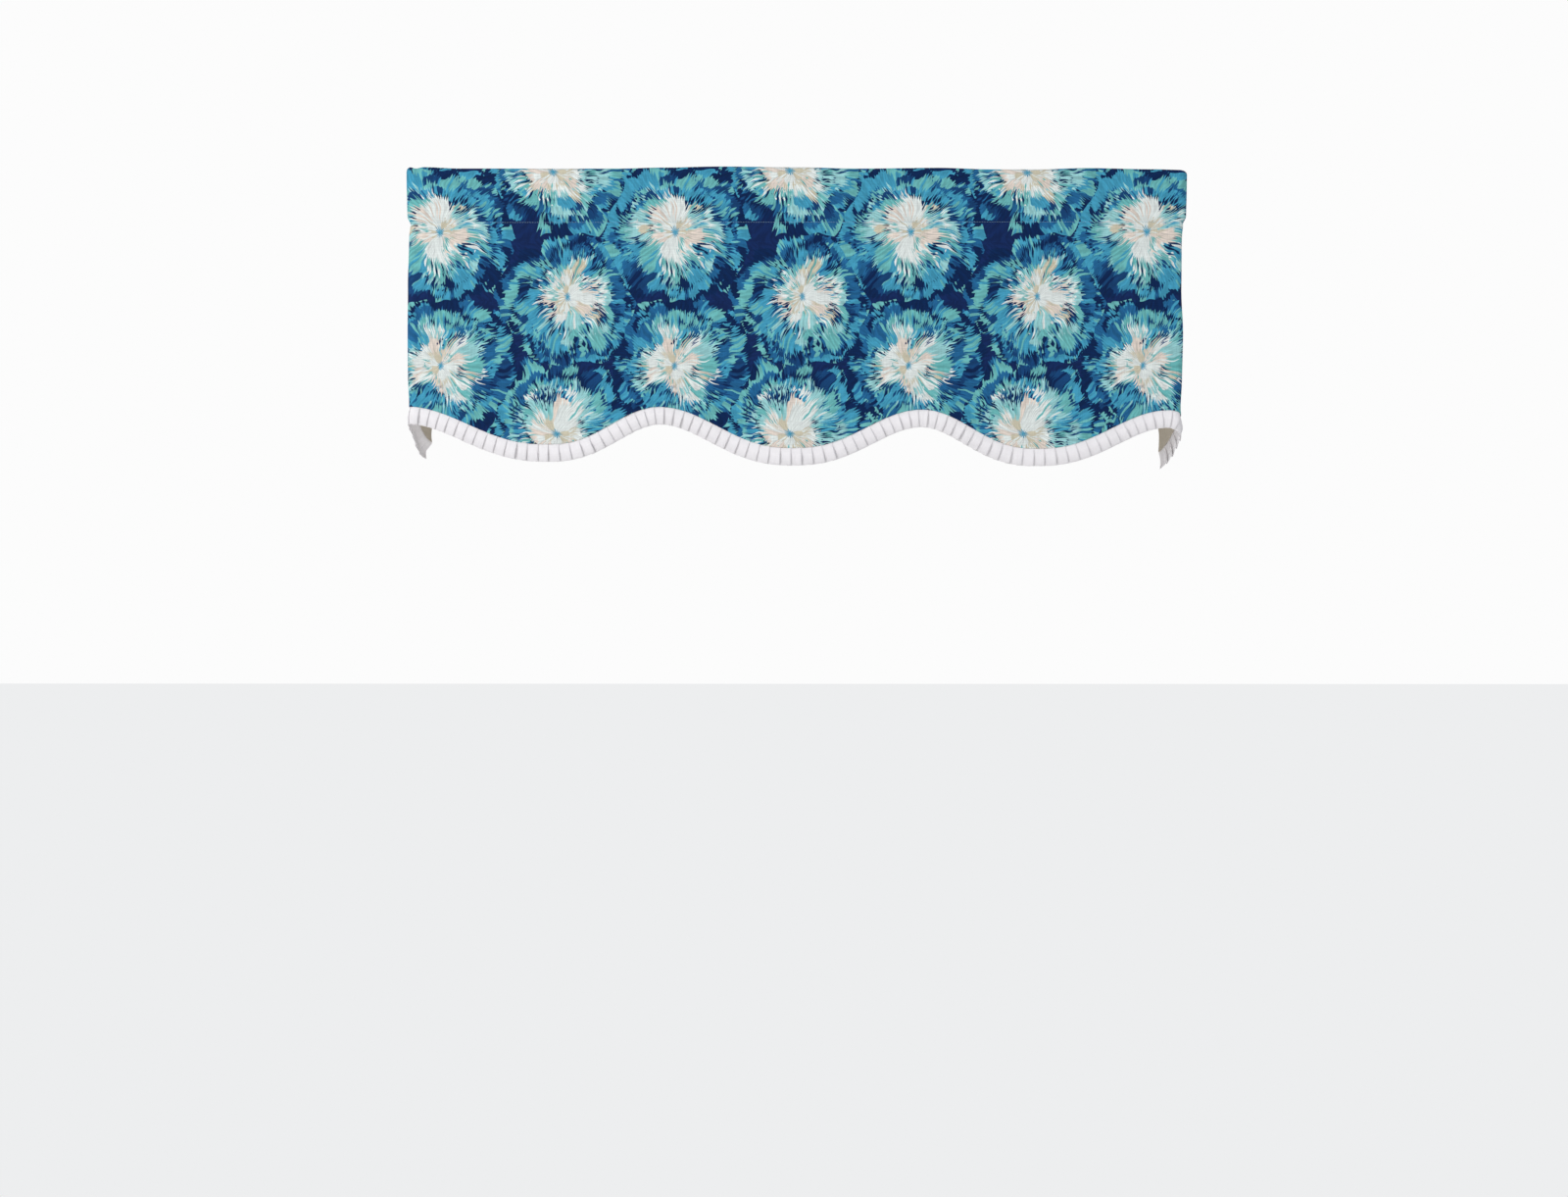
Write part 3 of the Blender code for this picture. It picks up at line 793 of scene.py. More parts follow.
lining_cotton = plain_cotton("lining_plain_weave_cotton", "#b9b09f", "#c7beae", roughness=0.90, sheen=0.08,
                             relief=0.00010, slub_tint=0.05)
# the edging's colour carries 11 % painted shade at its free edge
bleached = plain_cotton("bleached_pressed_cotton", "#ebe8e9", "#f3f0f1", roughness=0.80, sheen=0.08,
                        relief=0.00006, slub_tint=0.02, painted_shade=0.11)
thread = plain_cotton("spun_sewing_thread", "#7f9fb6", "#9ab7c6", roughness=0.70, sheen=0.20,
                      relief=0.00004, slub_tint=0.05)
print("materials:", [m.name for m in (printed, wrong_side, lining_cotton, bleached, thread)])

# %% [markdown]
# ## The printed cloth: how far it stands out
# A maker cuts one length of printed cotton, hems its two sides, folds its top down behind and stitches
# it to make the sleeve. The stitch line draws the cloth in and puckers it, and the seam at the bottom
# is thick with turned cloth, so the front swells there. The sleeve keeps the flat shape of its rod,
# with a few shallow dents.

# %% How far the printed cloth stands out
POCKET_OUT = 0.0056        # from the mid-plane to either wall of the sleeve
ROD_BOTTOM = 0.0668        # depth at which the walls begin to draw together
POCKET_DENTS = (0.050, 0.040, 0.00045)   # width, length, height
FACE_OUT = 0.0017          # the front, below the stitch line
POCKET_BACK_OUT = -0.0011  # the back wall at the stitch line
SEAM_ALLOWANCE = 0.0080    # the turned cloth inside, which pushes the layers apart
SEAM_SWELL = 0.0006
STITCH_GROOVE = 0.0005
GROOVE_HALF = 0.0018
PUCKERS = (0.0055, 0.050, 0.00045)       # width, length, height
PUCKER_REACH = 0.0090      # how far the puckers run from the stitch line


def near(distance, reach):
    """1 at no distance, falling softly to 0 past the reach."""
    return math.exp(-((distance / reach) ** 2))


def sleeve_share(depth):
    """1 in the sleeve, falling to 0 where the stitch line draws its walls together."""
    return smooth((POCKET_DEPTH - depth) / (POCKET_DEPTH - ROD_BOTTOM))


def draw_in(along, depth):
    """Groove and puckers of the stitch line."""
    off = abs(depth - POCKET_DEPTH)
    width, length, height = PUCKERS
    pucker = height * uneven(along, depth, width, length, SEEDS["pucker"]) * math.exp(-off / PUCKER_REACH)
    return pucker - STITCH_GROOVE * near(off, GROOVE_HALF)


def front_out(along, depth):
    """How far the middle of the printed cloth stands in front of the sleeve's mid-plane."""
    sleeve = sleeve_share(depth)
    width, length, height = POCKET_DENTS
    out = FACE_OUT + (POCKET_OUT - FACE_OUT) * sleeve
    out += height * uneven(along, depth, width, length, SEEDS["dent"]) * sleeve
    out += SEAM_SWELL * near(seam_depth(along) - depth, SEAM_ALLOWANCE)
    return out + draw_in(along, depth) + sway(along, depth)


def back_out(depth):
    """The same for the sleeve's back wall."""
    return POCKET_BACK_OUT - (POCKET_OUT + POCKET_BACK_OUT) * sleeve_share(depth)


print(f"the sleeve is {(front_out(0, 0.04) - back_out(0.04)) * 1000:.1f} mm deep in its middle")

# %% [markdown]
# ## The printed cloth: one column
# The sheet goes the way the maker's cloth goes: from the scalloped seam up the front, over the top,
# down the back and past the stitch line. Rows are close where the cloth changes over a few
# millimetres, at the seam and the stitch line, and wide elsewhere.

# %% One column of the printed cloth
CLOTH_THICK = 0.0004
NEAR_SEAM = (0.0, 0.0008, 0.0018, 0.0032, 0.0055, 0.0090)     # steps up from the seam
NEAR_STITCHES = (0.0, 0.0008, 0.0018, 0.0035, 0.0060, 0.0090) # steps away from the stitch line
NEXT_ROW = 0.0040          # from the last of these to the first even row
HANG_ROWS = 26
SLEEVE_PITCHES = (0.0085, 0.0105, 0.0021)      # rows of its front, its back, and where the back draws in
POCKET_HEM = 0.0045        # the back wall's turned edge, below the stitch line
TOP_STEPS = 8


def steps(start, end, pitch):
    """Even steps from start to just short of end."""
    count = max(1, round(abs(end - start) / pitch))
    return [start + (end - start) * i / count for i in range(count)]


def face_column(along):
    """Depth, out and place on the flat cloth, up one column of the printed cloth."""
    front_pitch, back_pitch, bend_pitch = SLEEVE_PITCHES
    seam = seam_depth(along)
    clear = NEAR_SEAM[-1] + NEXT_ROW
    depths = [seam - up for up in NEAR_SEAM]
    low, high = seam - clear, POCKET_DEPTH + clear
    depths += [low + (high - low) * i / HANG_ROWS for i in range(HANG_ROWS + 1)]
    depths += [POCKET_DEPTH + down for down in NEAR_STITCHES[:0:-1]]
    depths += [POCKET_DEPTH - up for up in NEAR_STITCHES]
    crown = POCKET_OUT + CLOTH_THICK / 2
    depths += steps(POCKET_DEPTH - clear, crown, front_pitch)
    rows = [(depth, front_out(along, depth), -depth) for depth in depths]
    for i in range(TOP_STEPS + 1):
        angle = math.pi * i / TOP_STEPS
        arc = -crown + POCKET_OUT * angle
        rows.append((crown - POCKET_OUT * math.sin(angle), POCKET_OUT * math.cos(angle), arc))
    top = arc + crown
    back = steps(crown, ROD_BOTTOM, back_pitch)[1:] + steps(ROD_BOTTOM, POCKET_DEPTH, bend_pitch)
    back += [POCKET_DEPTH, POCKET_DEPTH + POCKET_HEM / 2, POCKET_DEPTH + POCKET_HEM]
    rows += [(depth, back_out(depth), top + depth) for depth in back]
    return np.array(rows)


print("rows in a column:", len(face_column(0)))

# %% [markdown]
# ## The printed cloth: from hem to hem
# Columns follow each other across the flat cloth, closer round the corners. At either side the cloth
# is turned under once more and lies on itself as a hem, so the columns run round that fold and back
# again. The hem is the same sheet, as it is the same cloth.

# %% The columns of the printed cloth
COLUMN_PITCH = (0.0025, 0.0016)   # on the flat, and round the corners
HEM_GAP = 0.00055          # between the middles of the cloth and of its turned hem
HEM_FOLD_STEPS = 4
HEM_STEPS = (0.002, 0.006, 0.011, 0.016, 0.021, 0.0245)       # across each side hem


def face_columns():
    """Place on the flat cloth, along, and how far behind the face, for each column from hem to hem."""
    fold = HEM_GAP / 2
    edge = CLOTH_HALF - fold
    flat_pitch, bend_pitch = COLUMN_PITCH
    front = steps(0, CORNER[0], flat_pitch) + steps(*CORNER, bend_pitch)
    front += steps(CORNER[1], edge, flat_pitch) + [edge]
    half = [(along, along, 0.0) for along in front]
    for i in range(1, HEM_FOLD_STEPS):
        angle = math.pi * i / HEM_FOLD_STEPS
        half.append((edge + fold * angle, edge + fold * math.sin(angle), fold * (1 - math.cos(angle))))
    half += [(edge + fold * math.pi + step, edge - step, HEM_GAP) for step in HEM_STEPS]
    return [(-flat, -along, gap) for flat, along, gap in half[:0:-1]] + half


print("columns from hem to hem:", len(face_columns()))

# %% [markdown]
# ## The printed cloth: the sheet
# Rows and columns make the grid. At the scalloped seam the edge is folded round its allowance, so the
# sheet is thicker there. The extra lies behind, because the right side runs smooth over it, and the
# side hems have none.

# %% The printed cloth's sheet
SEAM_THICK = 0.0010        # the edge folded round its seam allowance
SEAM_FOLD = 0.0025         # height of that thick edge
HEM_CLEAR, HEM_FADE = 0.0040, 0.0030   # the thick edge ends so far before a side hem, and fades over so much


def as_grid(columns):
    """Columns of values as an array of rows."""
    return np.swapaxes(np.array(columns, float), 0, 1)


def printed_cloth():
    """The grid of the printed cloth, its flat places and its thickness."""
    grid, flat, thick = [], [], []
    for across, along, gap in face_columns():
        column = face_column(along)
        slope = unit(np.gradient(column[:, :2], axis=0))
        depths = column[:, 0] - slope[:, 1] * gap
        outs = column[:, 1] + slope[:, 0] * gap
        hemmed = smooth((abs(along) - (CLOTH_HALF - HEM_STEPS[-1] - HEM_CLEAR)) / HEM_FADE)
        most = (SEAM_THICK - CLOTH_THICK) * (1 - hemmed)
        extras = [most * near(seam_depth(along) - depth, SEAM_FOLD) for depth in depths]
        grid.append([hang(along, depth, out - extra / 2) for depth, out, extra in zip(depths, outs, extras)])
        flat.append([(across, place) for place in column[:, 2]])
        thick.append([CLOTH_THICK + extra for extra in extras])
    return as_grid(grid), as_grid(flat), as_grid(thick)


face_grid, face_flat, face_thick = printed_cloth()
face, face_area = add_sheet("face_sheet", face_grid, face_flat, face_thick, printed, wrong_side)
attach(face, "root")
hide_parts("face_cloth")

# %% [markdown]
# ## The lining
# The lining is cut like the front but a little narrower. Its sides are turned under and lie on the
# side hems, its top is caught in the stitch line, and its lower edge is in the scalloped seam. It is
# looser than the front, so it hangs in shallow ripples, which only swell to the back.

# %% How the lining hangs
LINING_OUT = 0.0003        # between the front and the sleeve's back wall at the stitch line
SEAM_PUSH = 0.0007         # the seam's inner cloth pushes the lining back
RIPPLE = (0.030, 0.22, 0.0012)   # width, length, height


def lining_out(along, depth):
    """How far the middle of the lining stands in front of the mid-plane."""
    seam = seam_depth(along)
    width, length, height = RIPPLE
    loose = math.sin(math.pi * min(max((depth - POCKET_DEPTH) / (seam - POCKET_DEPTH), 0), 1))
    ripple = height * (1 + uneven(along, depth, width, length, SEEDS["ripple"])) * loose
    return LINING_OUT + sway(along, depth) - SEAM_PUSH * near(seam - depth, SEAM_ALLOWANCE) - ripple


behind = front_out(0, 0.25) - lining_out(0, 0.25)
print(f"half-way down, the lining is {behind * 1000:.1f} mm behind the front")

# %% [markdown]
# ## The lining: the sheet
# The lining's grid needs fewer rows than the front, because nothing happens between its seam and the
# stitch line. Its edges are turned under, so the sheet is thicker at both sides and at the seam.

# %% The lining's sheet
LINING_THICK = 0.0003
LINING_EDGE = 0.0007       # thickness of the turned edges
LINING_TURN = 0.0020       # width over which a turned side thins to one layer
LINING_INSET = 0.0025      # the side hems show outside it by this much
LINING_PITCH = 0.0030      # between its columns on the flat
LINING_SIDE = 0.0010       # between the last two at each side
LINING_ROWS = 22
ABOVE_SEAM = 0.0130        # from the seam to the first of these rows
LINING_TOP = (0.0060, 0.0020, 0.0, -0.0060)    # last rows, from the stitch line; the edge is caught above it


def lining_cloth():
    """The grid of the lining, its flat places and its thickness."""
    half = CLOTH_HALF - LINING_INSET
    right = steps(0, CORNER[0], LINING_PITCH) + steps(*CORNER, COLUMN_PITCH[1])
    right += steps(CORNER[1], half, LINING_PITCH) + [half - LINING_SIDE, half]
    grid, flat, thick = [], [], []
    for along in [-along for along in right[:0:-1]] + right:
        seam = seam_depth(along)
        low, high = seam - ABOVE_SEAM, POCKET_DEPTH + LINING_TOP[0]
        depths = [seam - up for up in NEAR_SEAM]
        depths += [low + (high - low) * i / LINING_ROWS for i in range(LINING_ROWS)]
        depths += [POCKET_DEPTH + down for down in LINING_TOP]
        turned = near(half - abs(along), LINING_TURN)
        edges = [max(turned, near(seam - depth, SEAM_FOLD)) for depth in depths]
        grid.append([hang(along, depth, lining_out(along, depth)) for depth in depths])
        flat.append([(along, -depth) for depth in depths])
        thick.append([LINING_THICK + (LINING_EDGE - LINING_THICK) * edge for edge in edges])
    return as_grid(grid), as_grid(flat), as_grid(thick)


lining_grid, lining_flat, lining_thick = lining_cloth()
lining, lining_area = add_sheet(
    "lining_sheet", lining_grid, lining_flat, lining_thick, lining_cotton, lining_cotton
)
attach(lining, "root")
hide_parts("lining")

# %% [markdown]
# ## The knife-pleated edging: the folded line
# One long white strip is folded back and forth, so that every pleat lies over the start of the next,
# and its folded edges all face the same way. The strip is one sheet here too: a line that runs back and
# forth along the seam, carried down square to it. A Blender array of single pleats would leave a gap
# at every fold.

# %% The seam's length, and the strip's folded line
PLEAT_PITCH = 0.0150
PLEAT_UNDERLAP = 0.0050    # the part of each pleat under its neighbour
PLEAT_STEP = 0.0020        # between the points on the flat of a pleat
FOLD_SPARE = 0.0006        # the last of them stays so far short of the fold
FOLD_STEPS = 4             # round each fold
SEAM_SAMPLES = 4000

sample_along = np.linspace(-CLOTH_HALF, CLOTH_HALF, SEAM_SAMPLES + 1)
sample_depth = np.array([seam_depth(along) for along in sample_along])
pieces_of_seam = np.hypot(np.diff(sample_along), np.diff(sample_depth))
sample_length = np.concatenate(([0.0], np.cumsum(pieces_of_seam)))
seam_length = float(sample_length[-1])
pleats = round(seam_length / PLEAT_PITCH)
pitch = seam_length / pleats


def pleat_line():
    """The strip's middle line: length along the seam, a shift in layer gaps, and out in layer gaps.
    Over a pleat it climbs two gaps, and each fold goes round half a gap."""
    slope = 2 / pitch
    lowest = -slope * (pitch + PLEAT_UNDERLAP) / 2
    line = []
    for i in range(pleats):
        start = max(i * pitch - PLEAT_UNDERLAP, 0.0)
        end = (i + 1) * pitch
        for length in steps(start, end - FOLD_SPARE, PLEAT_STEP):
            line.append((length, 0.0, lowest + slope * (length - i * pitch + PLEAT_UNDERLAP)))
        top = lowest + slope * (pitch + PLEAT_UNDERLAP)
        if i + 1 == pleats:
            line.append((end, 0.0, top))
            break
        for k in range(FOLD_STEPS + 1):
            angle = math.pi * (0.5 - k / FOLD_STEPS)
            line.append((end, 0.5 * math.cos(angle) - 0.5, top - 0.5 + 0.5 * math.sin(angle)))
        bottom = top - 1 - slope * PLEAT_UNDERLAP
        back = end - PLEAT_UNDERLAP
        line.append((end - PLEAT_UNDERLAP / 2, 0.0, top - 1 - slope * PLEAT_UNDERLAP / 2))
        for k in range(FOLD_STEPS):
            angle = math.pi * (0.5 + k / FOLD_STEPS)
            line.append((back, 0.5 + 0.5 * math.cos(angle), bottom - 0.5 + 0.5 * math.sin(angle)))
    return line


print(f"seam {seam_length:.3f} m, {pleats} pleats of {pitch * 1000:.1f} mm")

# %% [markdown]
# ## The knife-pleated edging: pressed above, open below
# Pressing keeps the folds flat at the seam, and they open towards the free edge, some more than others.
# Each layer rolls out a little on its way down. On the two ends the pleats hang plumber than square,
# and at the left they stand off, because nothing holds the back edge there.

# %% How a pleat opens
TRIM_DROP = 0.0254         # from the seam down to the free edge
LAYER_GAPS = (0.00040, 0.00120)  # between layers, pressed at the seam and open at the free edge
TRIM_OUTS = (0.00070, 0.00050)   # middle of the folded strip, at the seam and at the free edge
TRIM_ROLL = 0.0014         # how far the strip rolls out half-way down
OPEN_SOON = 1.6            # above 1, a pleat is fully open before its free edge
PLEAT_WIDTHS = (0.021, 0.0005)   # unevenness of the pleats' widths: its own width, and how much
PLEAT_SLANTS = (0.017, 0.0009)   # the same for their slant, at the free edge
OPENINGS = (0.019, 0.050)        # and for how far they open: its width and length
PLEAT_OPEN, PLEAT_SHUT = 1.3, 0.35     # and how much more, or less, than usual
GAP_RISE = 0.25            # the layers lie closer towards the left, and are more open towards the right
END_PRESS = 0.65           # share of the gaps that is left on the right end
ENDS_EVEN = 0.050          # towards the strip's two ends, widths and slants grow even over this length
LEFT_FLARE = 0.0085        # how far the left end's last pleats stand off
CORNER_FLARE = 0.0020      # how far the pleats on the left corner stand off
CORNER_REACH = 0.0160      # and how far to either side of it
END_PLUMB = 0.4            # pleats stand square to the seam, but this much plumber at the back edges
SLOPE_STEP = 0.0060        # half of the step used to measure the seam's slope, about that of a pleat


def pleat_slope(along):
    """The slope to which a pleat stands square: the seam's own on the front, less on the ends."""
    rise = seam_depth(along + SLOPE_STEP) - seam_depth(along - SLOPE_STEP)
    back = max(0.0, (abs(along) - CORNER[0]) / (CLOTH_HALF - CORNER[0]))
    return rise / (2 * SLOPE_STEP) * (1 - END_PLUMB * back)


def layer_gap(length, drop, opened):
    """How far apart the layers of the folded strip are."""
    lift = uneven(length, drop, *OPENINGS, SEEDS["pleat opening"])
    lift = 1 + lift * (PLEAT_OPEN if lift > 0 else PLEAT_SHUT)
    gap = LAYER_GAPS[0] + (LAYER_GAPS[1] * lift - LAYER_GAPS[0]) * opened
    across = np.interp(length, sample_length, sample_along)
    end = smooth((across - CORNER[0]) / (CORNER[1] - CORNER[0]))
    return gap * ((1 + GAP_RISE * across / CLOTH_HALF) * (1 - (1 - END_PRESS) * end))


def trim_point(length, shift, layers, drop):
    """A point of the folded strip, so far below the seam and square to it."""
    opened = smooth(OPEN_SOON * drop / TRIM_DROP)
    gap = layer_gap(length, drop, opened)
    width, size = PLEAT_WIDTHS
    drift = size * uneven(length, 0, width, 1, SEEDS["pleat width"])
    width, size = PLEAT_SLANTS
    drift += size * uneven(length, 0, width, 1, SEEDS["pleat slant"]) * drop / TRIM_DROP
    fade = min(1.0, length / ENDS_EVEN, (seam_length - length) / ENDS_EVEN)
    along = float(np.interp(length + drift * fade + shift * gap, sample_length, sample_along))
    slope = pleat_slope(along)
    square = math.hypot(1, slope)
    depth = seam_depth(along) + drop / square
    along -= drop * slope / square
    out = TRIM_OUTS[0] + (TRIM_OUTS[1] - TRIM_OUTS[0]) * opened
    out += TRIM_ROLL * math.sin(math.pi * max(0.0, drop) / TRIM_DROP)
    out += LEFT_FLARE * opened * smooth((-along - CORNER[1]) / (CLOTH_HALF - CORNER[1]))
    out += CORNER_FLARE * opened * near(along + CORNER[1], CORNER_REACH)
    return hang(along, depth, out + layers * gap + sway(along, depth))


gaps = [layer_gap(seam_length * i / pleats, TRIM_DROP, 1.0) * 1000 for i in range(pleats + 1)]
print(f"at the free edge the layers are {min(gaps):.1f} to {max(gaps):.1f} mm apart")

# %% [markdown]
# ## The knife-pleated edging: the sheet
# The folded line is carried down in ten rows, closer at the seam, where the pleats start to open. The
# run of the line, measured over all its folds, is the length that the strip was cut to.

# %% The edging's sheet
TRIM_DROPS = (-0.0025, -0.0008, 0.0006, 0.0020, 0.0045, 0.0080, 0.0125, 0.0180, 0.0225, TRIM_DROP)
TRIM_THICKS = (0.00032, 0.00060)       # pressed at the seam, and turned up once at the free edge
EDGE_WAVER = (0.020, 0.0003)     # unevenness of the free edge: its own width, and how much


def pleated_cloth():
    """The grid of the edging, its flat places and its thickness. Rows go up from the free edge."""
    line = pleat_line()
    run = [0.0]
    for (a, shift_a, out_a), (b, shift_b, out_b) in zip(line, line[1:]):
        across = b - a + (shift_b - shift_a) * LAYER_GAPS[1]
        run.append(run[-1] + math.hypot(across, (out_b - out_a) * LAYER_GAPS[1]))
    width, size = EDGE_WAVER
    grid, flat, thick = [], [], []
    for drop in TRIM_DROPS[::-1]:
        opened = smooth(drop / TRIM_DROP)
        drops = [drop + size * uneven(place, 0, width, 1, SEEDS["free edge"]) * opened for place in run]
        grid.append([trim_point(*point, down) for point, down in zip(line, drops)])
        flat.append([(place, -drop) for place in run])
        thick.append([TRIM_THICKS[0] + (TRIM_THICKS[1] - TRIM_THICKS[0]) * opened] * len(line))
    return grid, flat, thick, run[-1]


trim_grid, trim_flat, trim_thick, strip_length = pleated_cloth()
trim, trim_area = add_sheet("pleated_edging", trim_grid, trim_flat, trim_thick, bleached, bleached)
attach(trim, "root")
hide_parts("pleated_trim")
print(f"strip of {strip_length:.2f} m")

# %% [markdown]
# ## One stitch
# A machine stitch is a short arch of thread that dips into the cloth at both ends. Each is a small
# five-sided tube, thinner where it dips in. A curve with a bevel would look the same, but there are
# close to a thousand of them, and they are lighter as one joined mesh.

# %% Points and faces of a stitch
STITCH = 0.0030
THREAD_RADIUS = 0.00019
THREAD_SUNK = 0.4          # share of the radius by which the ends are sunk in the cloth
THREAD_PINCH = 0.55        # share of the radius that the ends have
ARCH = 0.00022             # how far the middle of a stitch stands off the cloth
ARCH_STEPS = 4
THREAD_SIDES = 5
PROBE = (0.01, 0.001)      # a step along and a step off the cloth, to find the thread's directions

stitch_points, stitch_faces = [], []


def add_stitch(surface, start, end):
    """One stitch. surface(t, lift) gives the point so far along it and so far off the cloth."""
    base = len(stitch_points)
    ahead_step, up_step = PROBE
    for i in range(ARCH_STEPS + 1):
        part = i / ARCH_STEPS
        lift = ARCH * math.sin(math.pi * part) - THREAD_RADIUS * THREAD_SUNK
        here = surface(start + (end - start) * part, lift)
        up = (surface(start + (end - start) * part, lift + up_step) - here).normalized()
        ahead = surface(start + (end - start) * (part + ahead_step), lift) - here
        side = ahead.cross(up).normalized()
        radius = THREAD_RADIUS * (THREAD_PINCH if i in (0, ARCH_STEPS) else 1.0)
        for k in range(THREAD_SIDES):
            angle = 2 * math.pi * k / THREAD_SIDES
            stitch_points.append(here + (side * math.cos(angle) + up * math.sin(angle)) * radius)
    for i in range(ARCH_STEPS):
        for k in range(THREAD_SIDES):
            low, after = base + i * THREAD_SIDES, (k + 1) % THREAD_SIDES
            stitch_faces.append((low + k, low + after, low + THREAD_SIDES + after, low + THREAD_SIDES + k))
    last = base + ARCH_STEPS * THREAD_SIDES
    stitch_faces.append(tuple(base + k for k in reversed(range(THREAD_SIDES))))
    stitch_faces.append(tuple(last + k for k in range(THREAD_SIDES)))


print(f"a stitch is {STITCH * 1000:.0f} mm long, of {THREAD_RADIUS * 2000:.2f} mm thread")

# %% [markdown]
# ## The seams
# Two kinds of seam show as thread: the long row that closes the sleeve, on the front and on the back,
# and the rows that hold the side hems. The rows are given on the flat cloth, where they are straight
# lines, and the cloth's own functions take them into space. So every stitch lies on its cloth.

# %% Sewing
STITCH_GAP = 0.0006
HEM_STITCHES = 0.021       # from the side edge
SIDE_CLEAR = 0.0010        # the long rows end so far before the side edges
TOP_CLEAR = 0.0080         # and the hems' rows so far below the top
ROW_CLEAR = 0.0030         # and so far from a seam that they meet


def sew(surface, start, end):
    """A row of stitches from start to end."""
    count = round((end - start) / (STITCH + STITCH_GAP))
    for i in range(count):
        low = start + (end - start) * i / count
        add_stitch(surface, low, low + STITCH)


def on_front(depth_of, along_of):
    """The outer side of the printed front, for a row of stitches that runs along or down it."""
    def surface(t, lift):
        along, depth = along_of(t), depth_of(t)
        return hang(along, depth, front_out(along, depth) + CLOTH_THICK / 2 + lift)
    return surface


def on_back(depth_of, along_of):
    """The outer side of the sleeve's back wall."""
    def surface(t, lift):
        along, depth = along_of(t), depth_of(t)
        return hang(along, depth, back_out(depth) - CLOTH_THICK / 2 - lift)
    return surface


edge = CLOTH_HALF - SIDE_CLEAR
for side in (on_front, on_back):
    sew(side(lambda t: POCKET_DEPTH, lambda t: t), -edge, edge)
for along in (-CLOTH_HALF + HEM_STITCHES, CLOTH_HALF - HEM_STITCHES):
    down, level = (lambda t: t), (lambda t, a=along: a)
    sew(on_front(down, level), TOP_CLEAR, POCKET_DEPTH - ROW_CLEAR)
    sew(on_front(down, level), POCKET_DEPTH + ROW_CLEAR, seam_depth(along) - ROW_CLEAR)
    sew(on_back(down, level), TOP_CLEAR, POCKET_DEPTH - ROW_CLEAR)
stitching = place_mesh("stitching", stitch_points, stitch_faces, [thread])
stitching.data.uv_layers.new(name="flat_cloth")
stitching.data.shade_smooth()
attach(stitching, "root")
print(f"stitching: {len(stitch_faces)} faces")

# %% [markdown]
# ## The sheets' sizes
# Each sheet's flat area, and the edging strip's length, are measured on the flat map that the sheets
# were made with, as they are built.


# %% [markdown]
# ## The floor
# A pale matt floor lies two metres below the rod. It throws soft light up at the valance, with a little
# glow of its own, as a floor in a bright room does. The camera sees it as one even pale tone, without
# the lamps' pools of light, so that the white edging stands out against it from any side.

# %% Floor
FLOOR_DEPTH = 2.0
FLOOR_HALF = 9.0
FLOOR_GLOW = 0.22          # light that the floor gives of itself

material = bpy.data.materials.new("pale_matt_floor")
material.use_nodes = True
tree = material.node_tree
shader = tree.nodes["Principled BSDF"]
shader.inputs["Roughness"].default_value = 0.9
shader.inputs["Base Color"].default_value = colour("#f2f1ef")
shader.inputs["Emission Color"].default_value = colour("#ffffff")
shader.inputs["Emission Strength"].default_value = FLOOR_GLOW
seen = add(tree, "ShaderNodeLightPath").outputs["Is Camera Ray"]
shown = add(tree, "ShaderNodeEmission", {"Color": colour("#edeeef")})
either = add(tree, "ShaderNodeMixShader", {0: seen, 1: shader.outputs["BSDF"], 2: shown})
tree.links.new(either.outputs["Shader"], tree.nodes["Material Output"].inputs["Surface"])
corners = [(x * FLOOR_HALF, y * FLOOR_HALF, -FLOOR_DEPTH) for x, y in ((-1, -1), (1, -1), (1, 1), (-1, 1))]
floor = place_mesh("floor", corners, [(0, 1, 2, 3)], [material])
print(f"floor {FLOOR_HALF * 2:.0f} m wide")

# %% [markdown]
# ## The room
# The light of a bright room comes from all sides, and less from behind, where the wall would be. A
# gradient in the world's light is enough for that. The camera sees the room as an even near-white. The
# Standard view keeps the inks as clear as they are written; a filmic one would grey them.

# %% Room
ROOM_LEVELS = (0.60, 0.11)  # the room's light from in front, and from behind
ROOM_FADE = 0.6            # from this far in front to this far behind, as a share of the full way

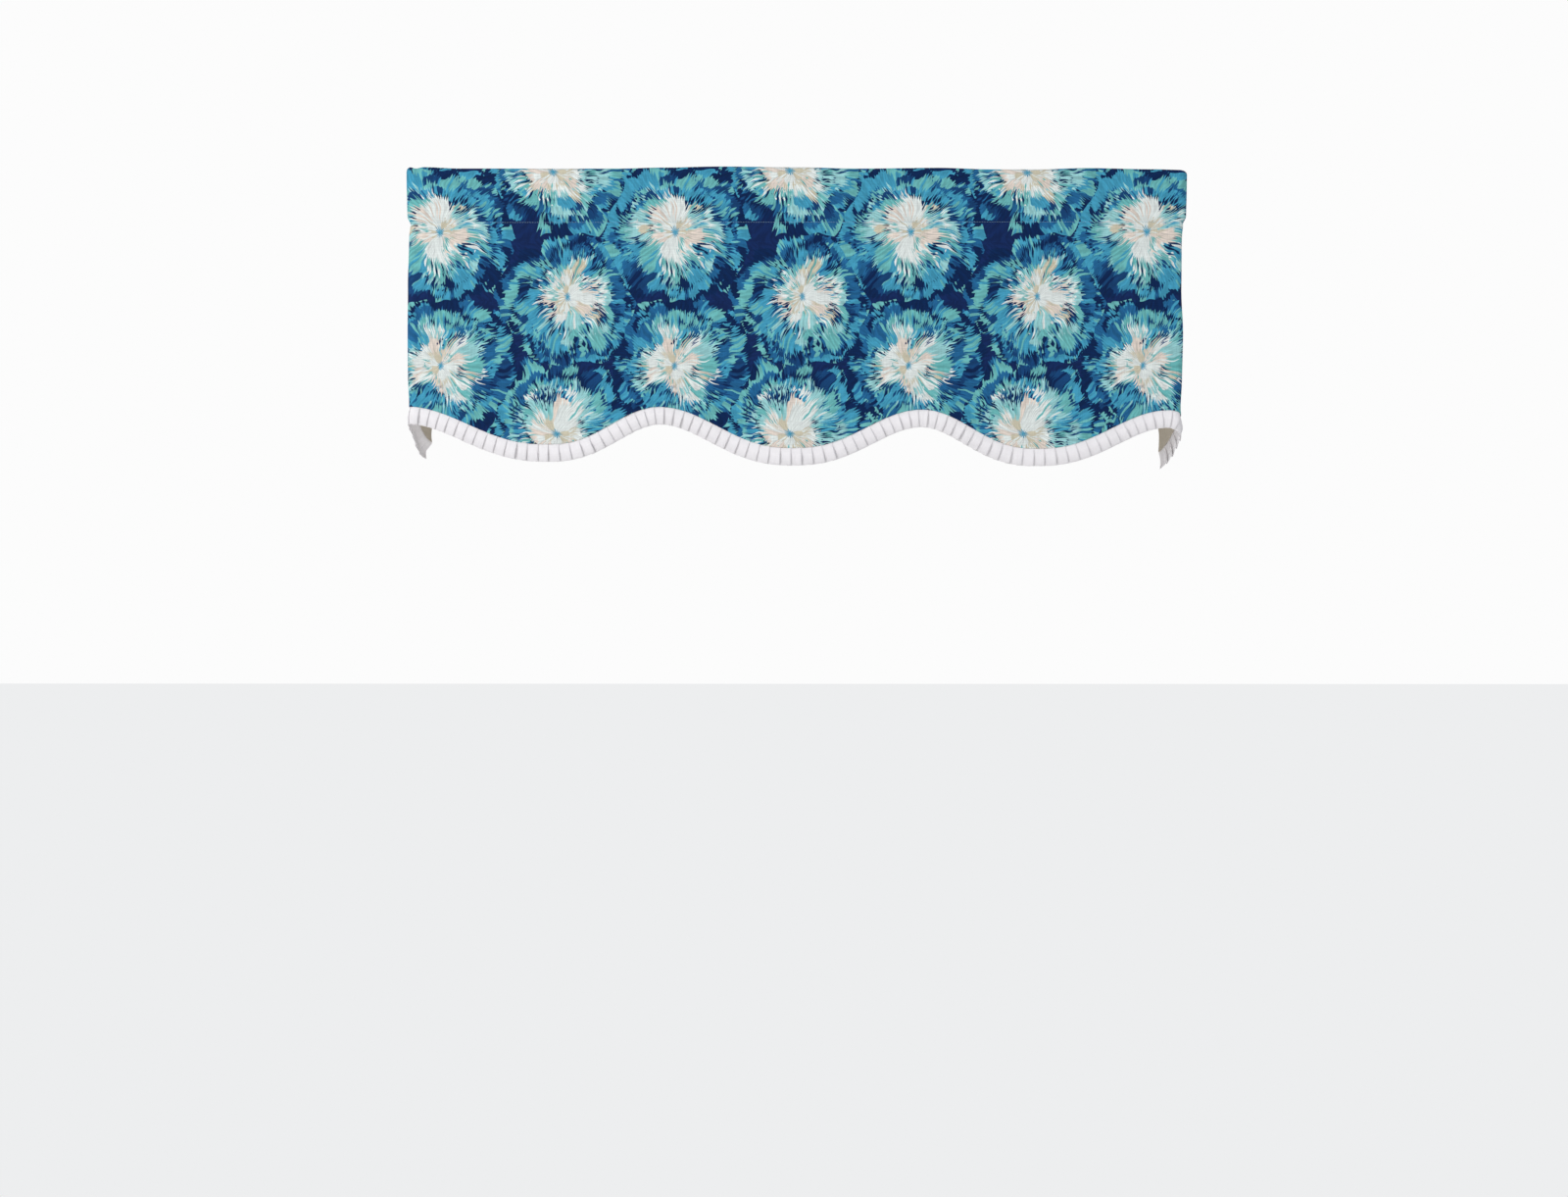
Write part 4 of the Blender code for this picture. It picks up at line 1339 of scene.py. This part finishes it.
bpy.context.scene.view_settings.view_transform = "Standard"
world = bpy.data.worlds.new("bright_room")
bpy.context.scene.world = world
world.use_nodes = True
tree = world.node_tree
tree.nodes.clear()
shown = add(tree, "ShaderNodeBackground", {"Color": colour("#fcfcfc"), "Strength": 1.0})
aim = add(tree, "ShaderNodeTexCoord").outputs["Generated"]
back = add(tree, "ShaderNodeSeparateXYZ", {0: aim}).outputs["Y"]
level = add(tree, "ShaderNodeMapRange", {0: back, 1: -ROOM_FADE, 2: ROOM_FADE, 3: ROOM_LEVELS[0],
                                         4: ROOM_LEVELS[1]})
light = add(tree, "ShaderNodeBackground", {"Color": colour("#f6f8fc"), "Strength": level.outputs["Result"]})
seen = add(tree, "ShaderNodeLightPath").outputs["Is Camera Ray"]
room = add(tree, "ShaderNodeMixShader", {0: seen, 1: light, 2: shown})
add(tree, "ShaderNodeOutputWorld", {"Surface": room})
print("room:", len(tree.nodes), "nodes")

# %% [markdown]
# ## The lamps
# One large soft lamp from the upper left rakes across the pleats, and a weak one from the right keeps
# its shadows open. The third stands straight behind, for a look at the lining: it only grazes the
# insides of the two ends, which are all that the portrait shows of it. Large lamps make soft shadows,
# and small ones would draw a hard line under every pleat.

# %% Lamps
LAMP_SIZE = (2.4, 1.8)     # width and height
LAMPS = (                  # name, place, power, colour
    ("key", (-3.6, -3.2, 1.4), 126.0, "#fdfdff"),
    ("fill", (2.2, -2.4, 0.2), 10.0, "#eef4ff"),
    ("back", (0.0, 3.2, 0.9), 66.0, "#fdfdff"),
)
AIM = Vector((0.0, 0.0, -0.22))   # the middle of the valance

for name, place, power, tint in LAMPS:
    data = bpy.data.lights.new(name, "AREA")
    data.shape = "RECTANGLE"
    data.size, data.size_y = LAMP_SIZE
    data.energy = power
    data.color = colour(tint)[:3]
    lamp = bpy.data.objects.new(name, data)
    lamp.location = place
    lamp.rotation_euler = (AIM - Vector(place)).to_track_quat("-Z", "Y").to_euler()
    lamp.visible_camera = False
    bpy.context.scene.collection.objects.link(lamp)
print("lamps:", [row[0] for row in LAMPS])
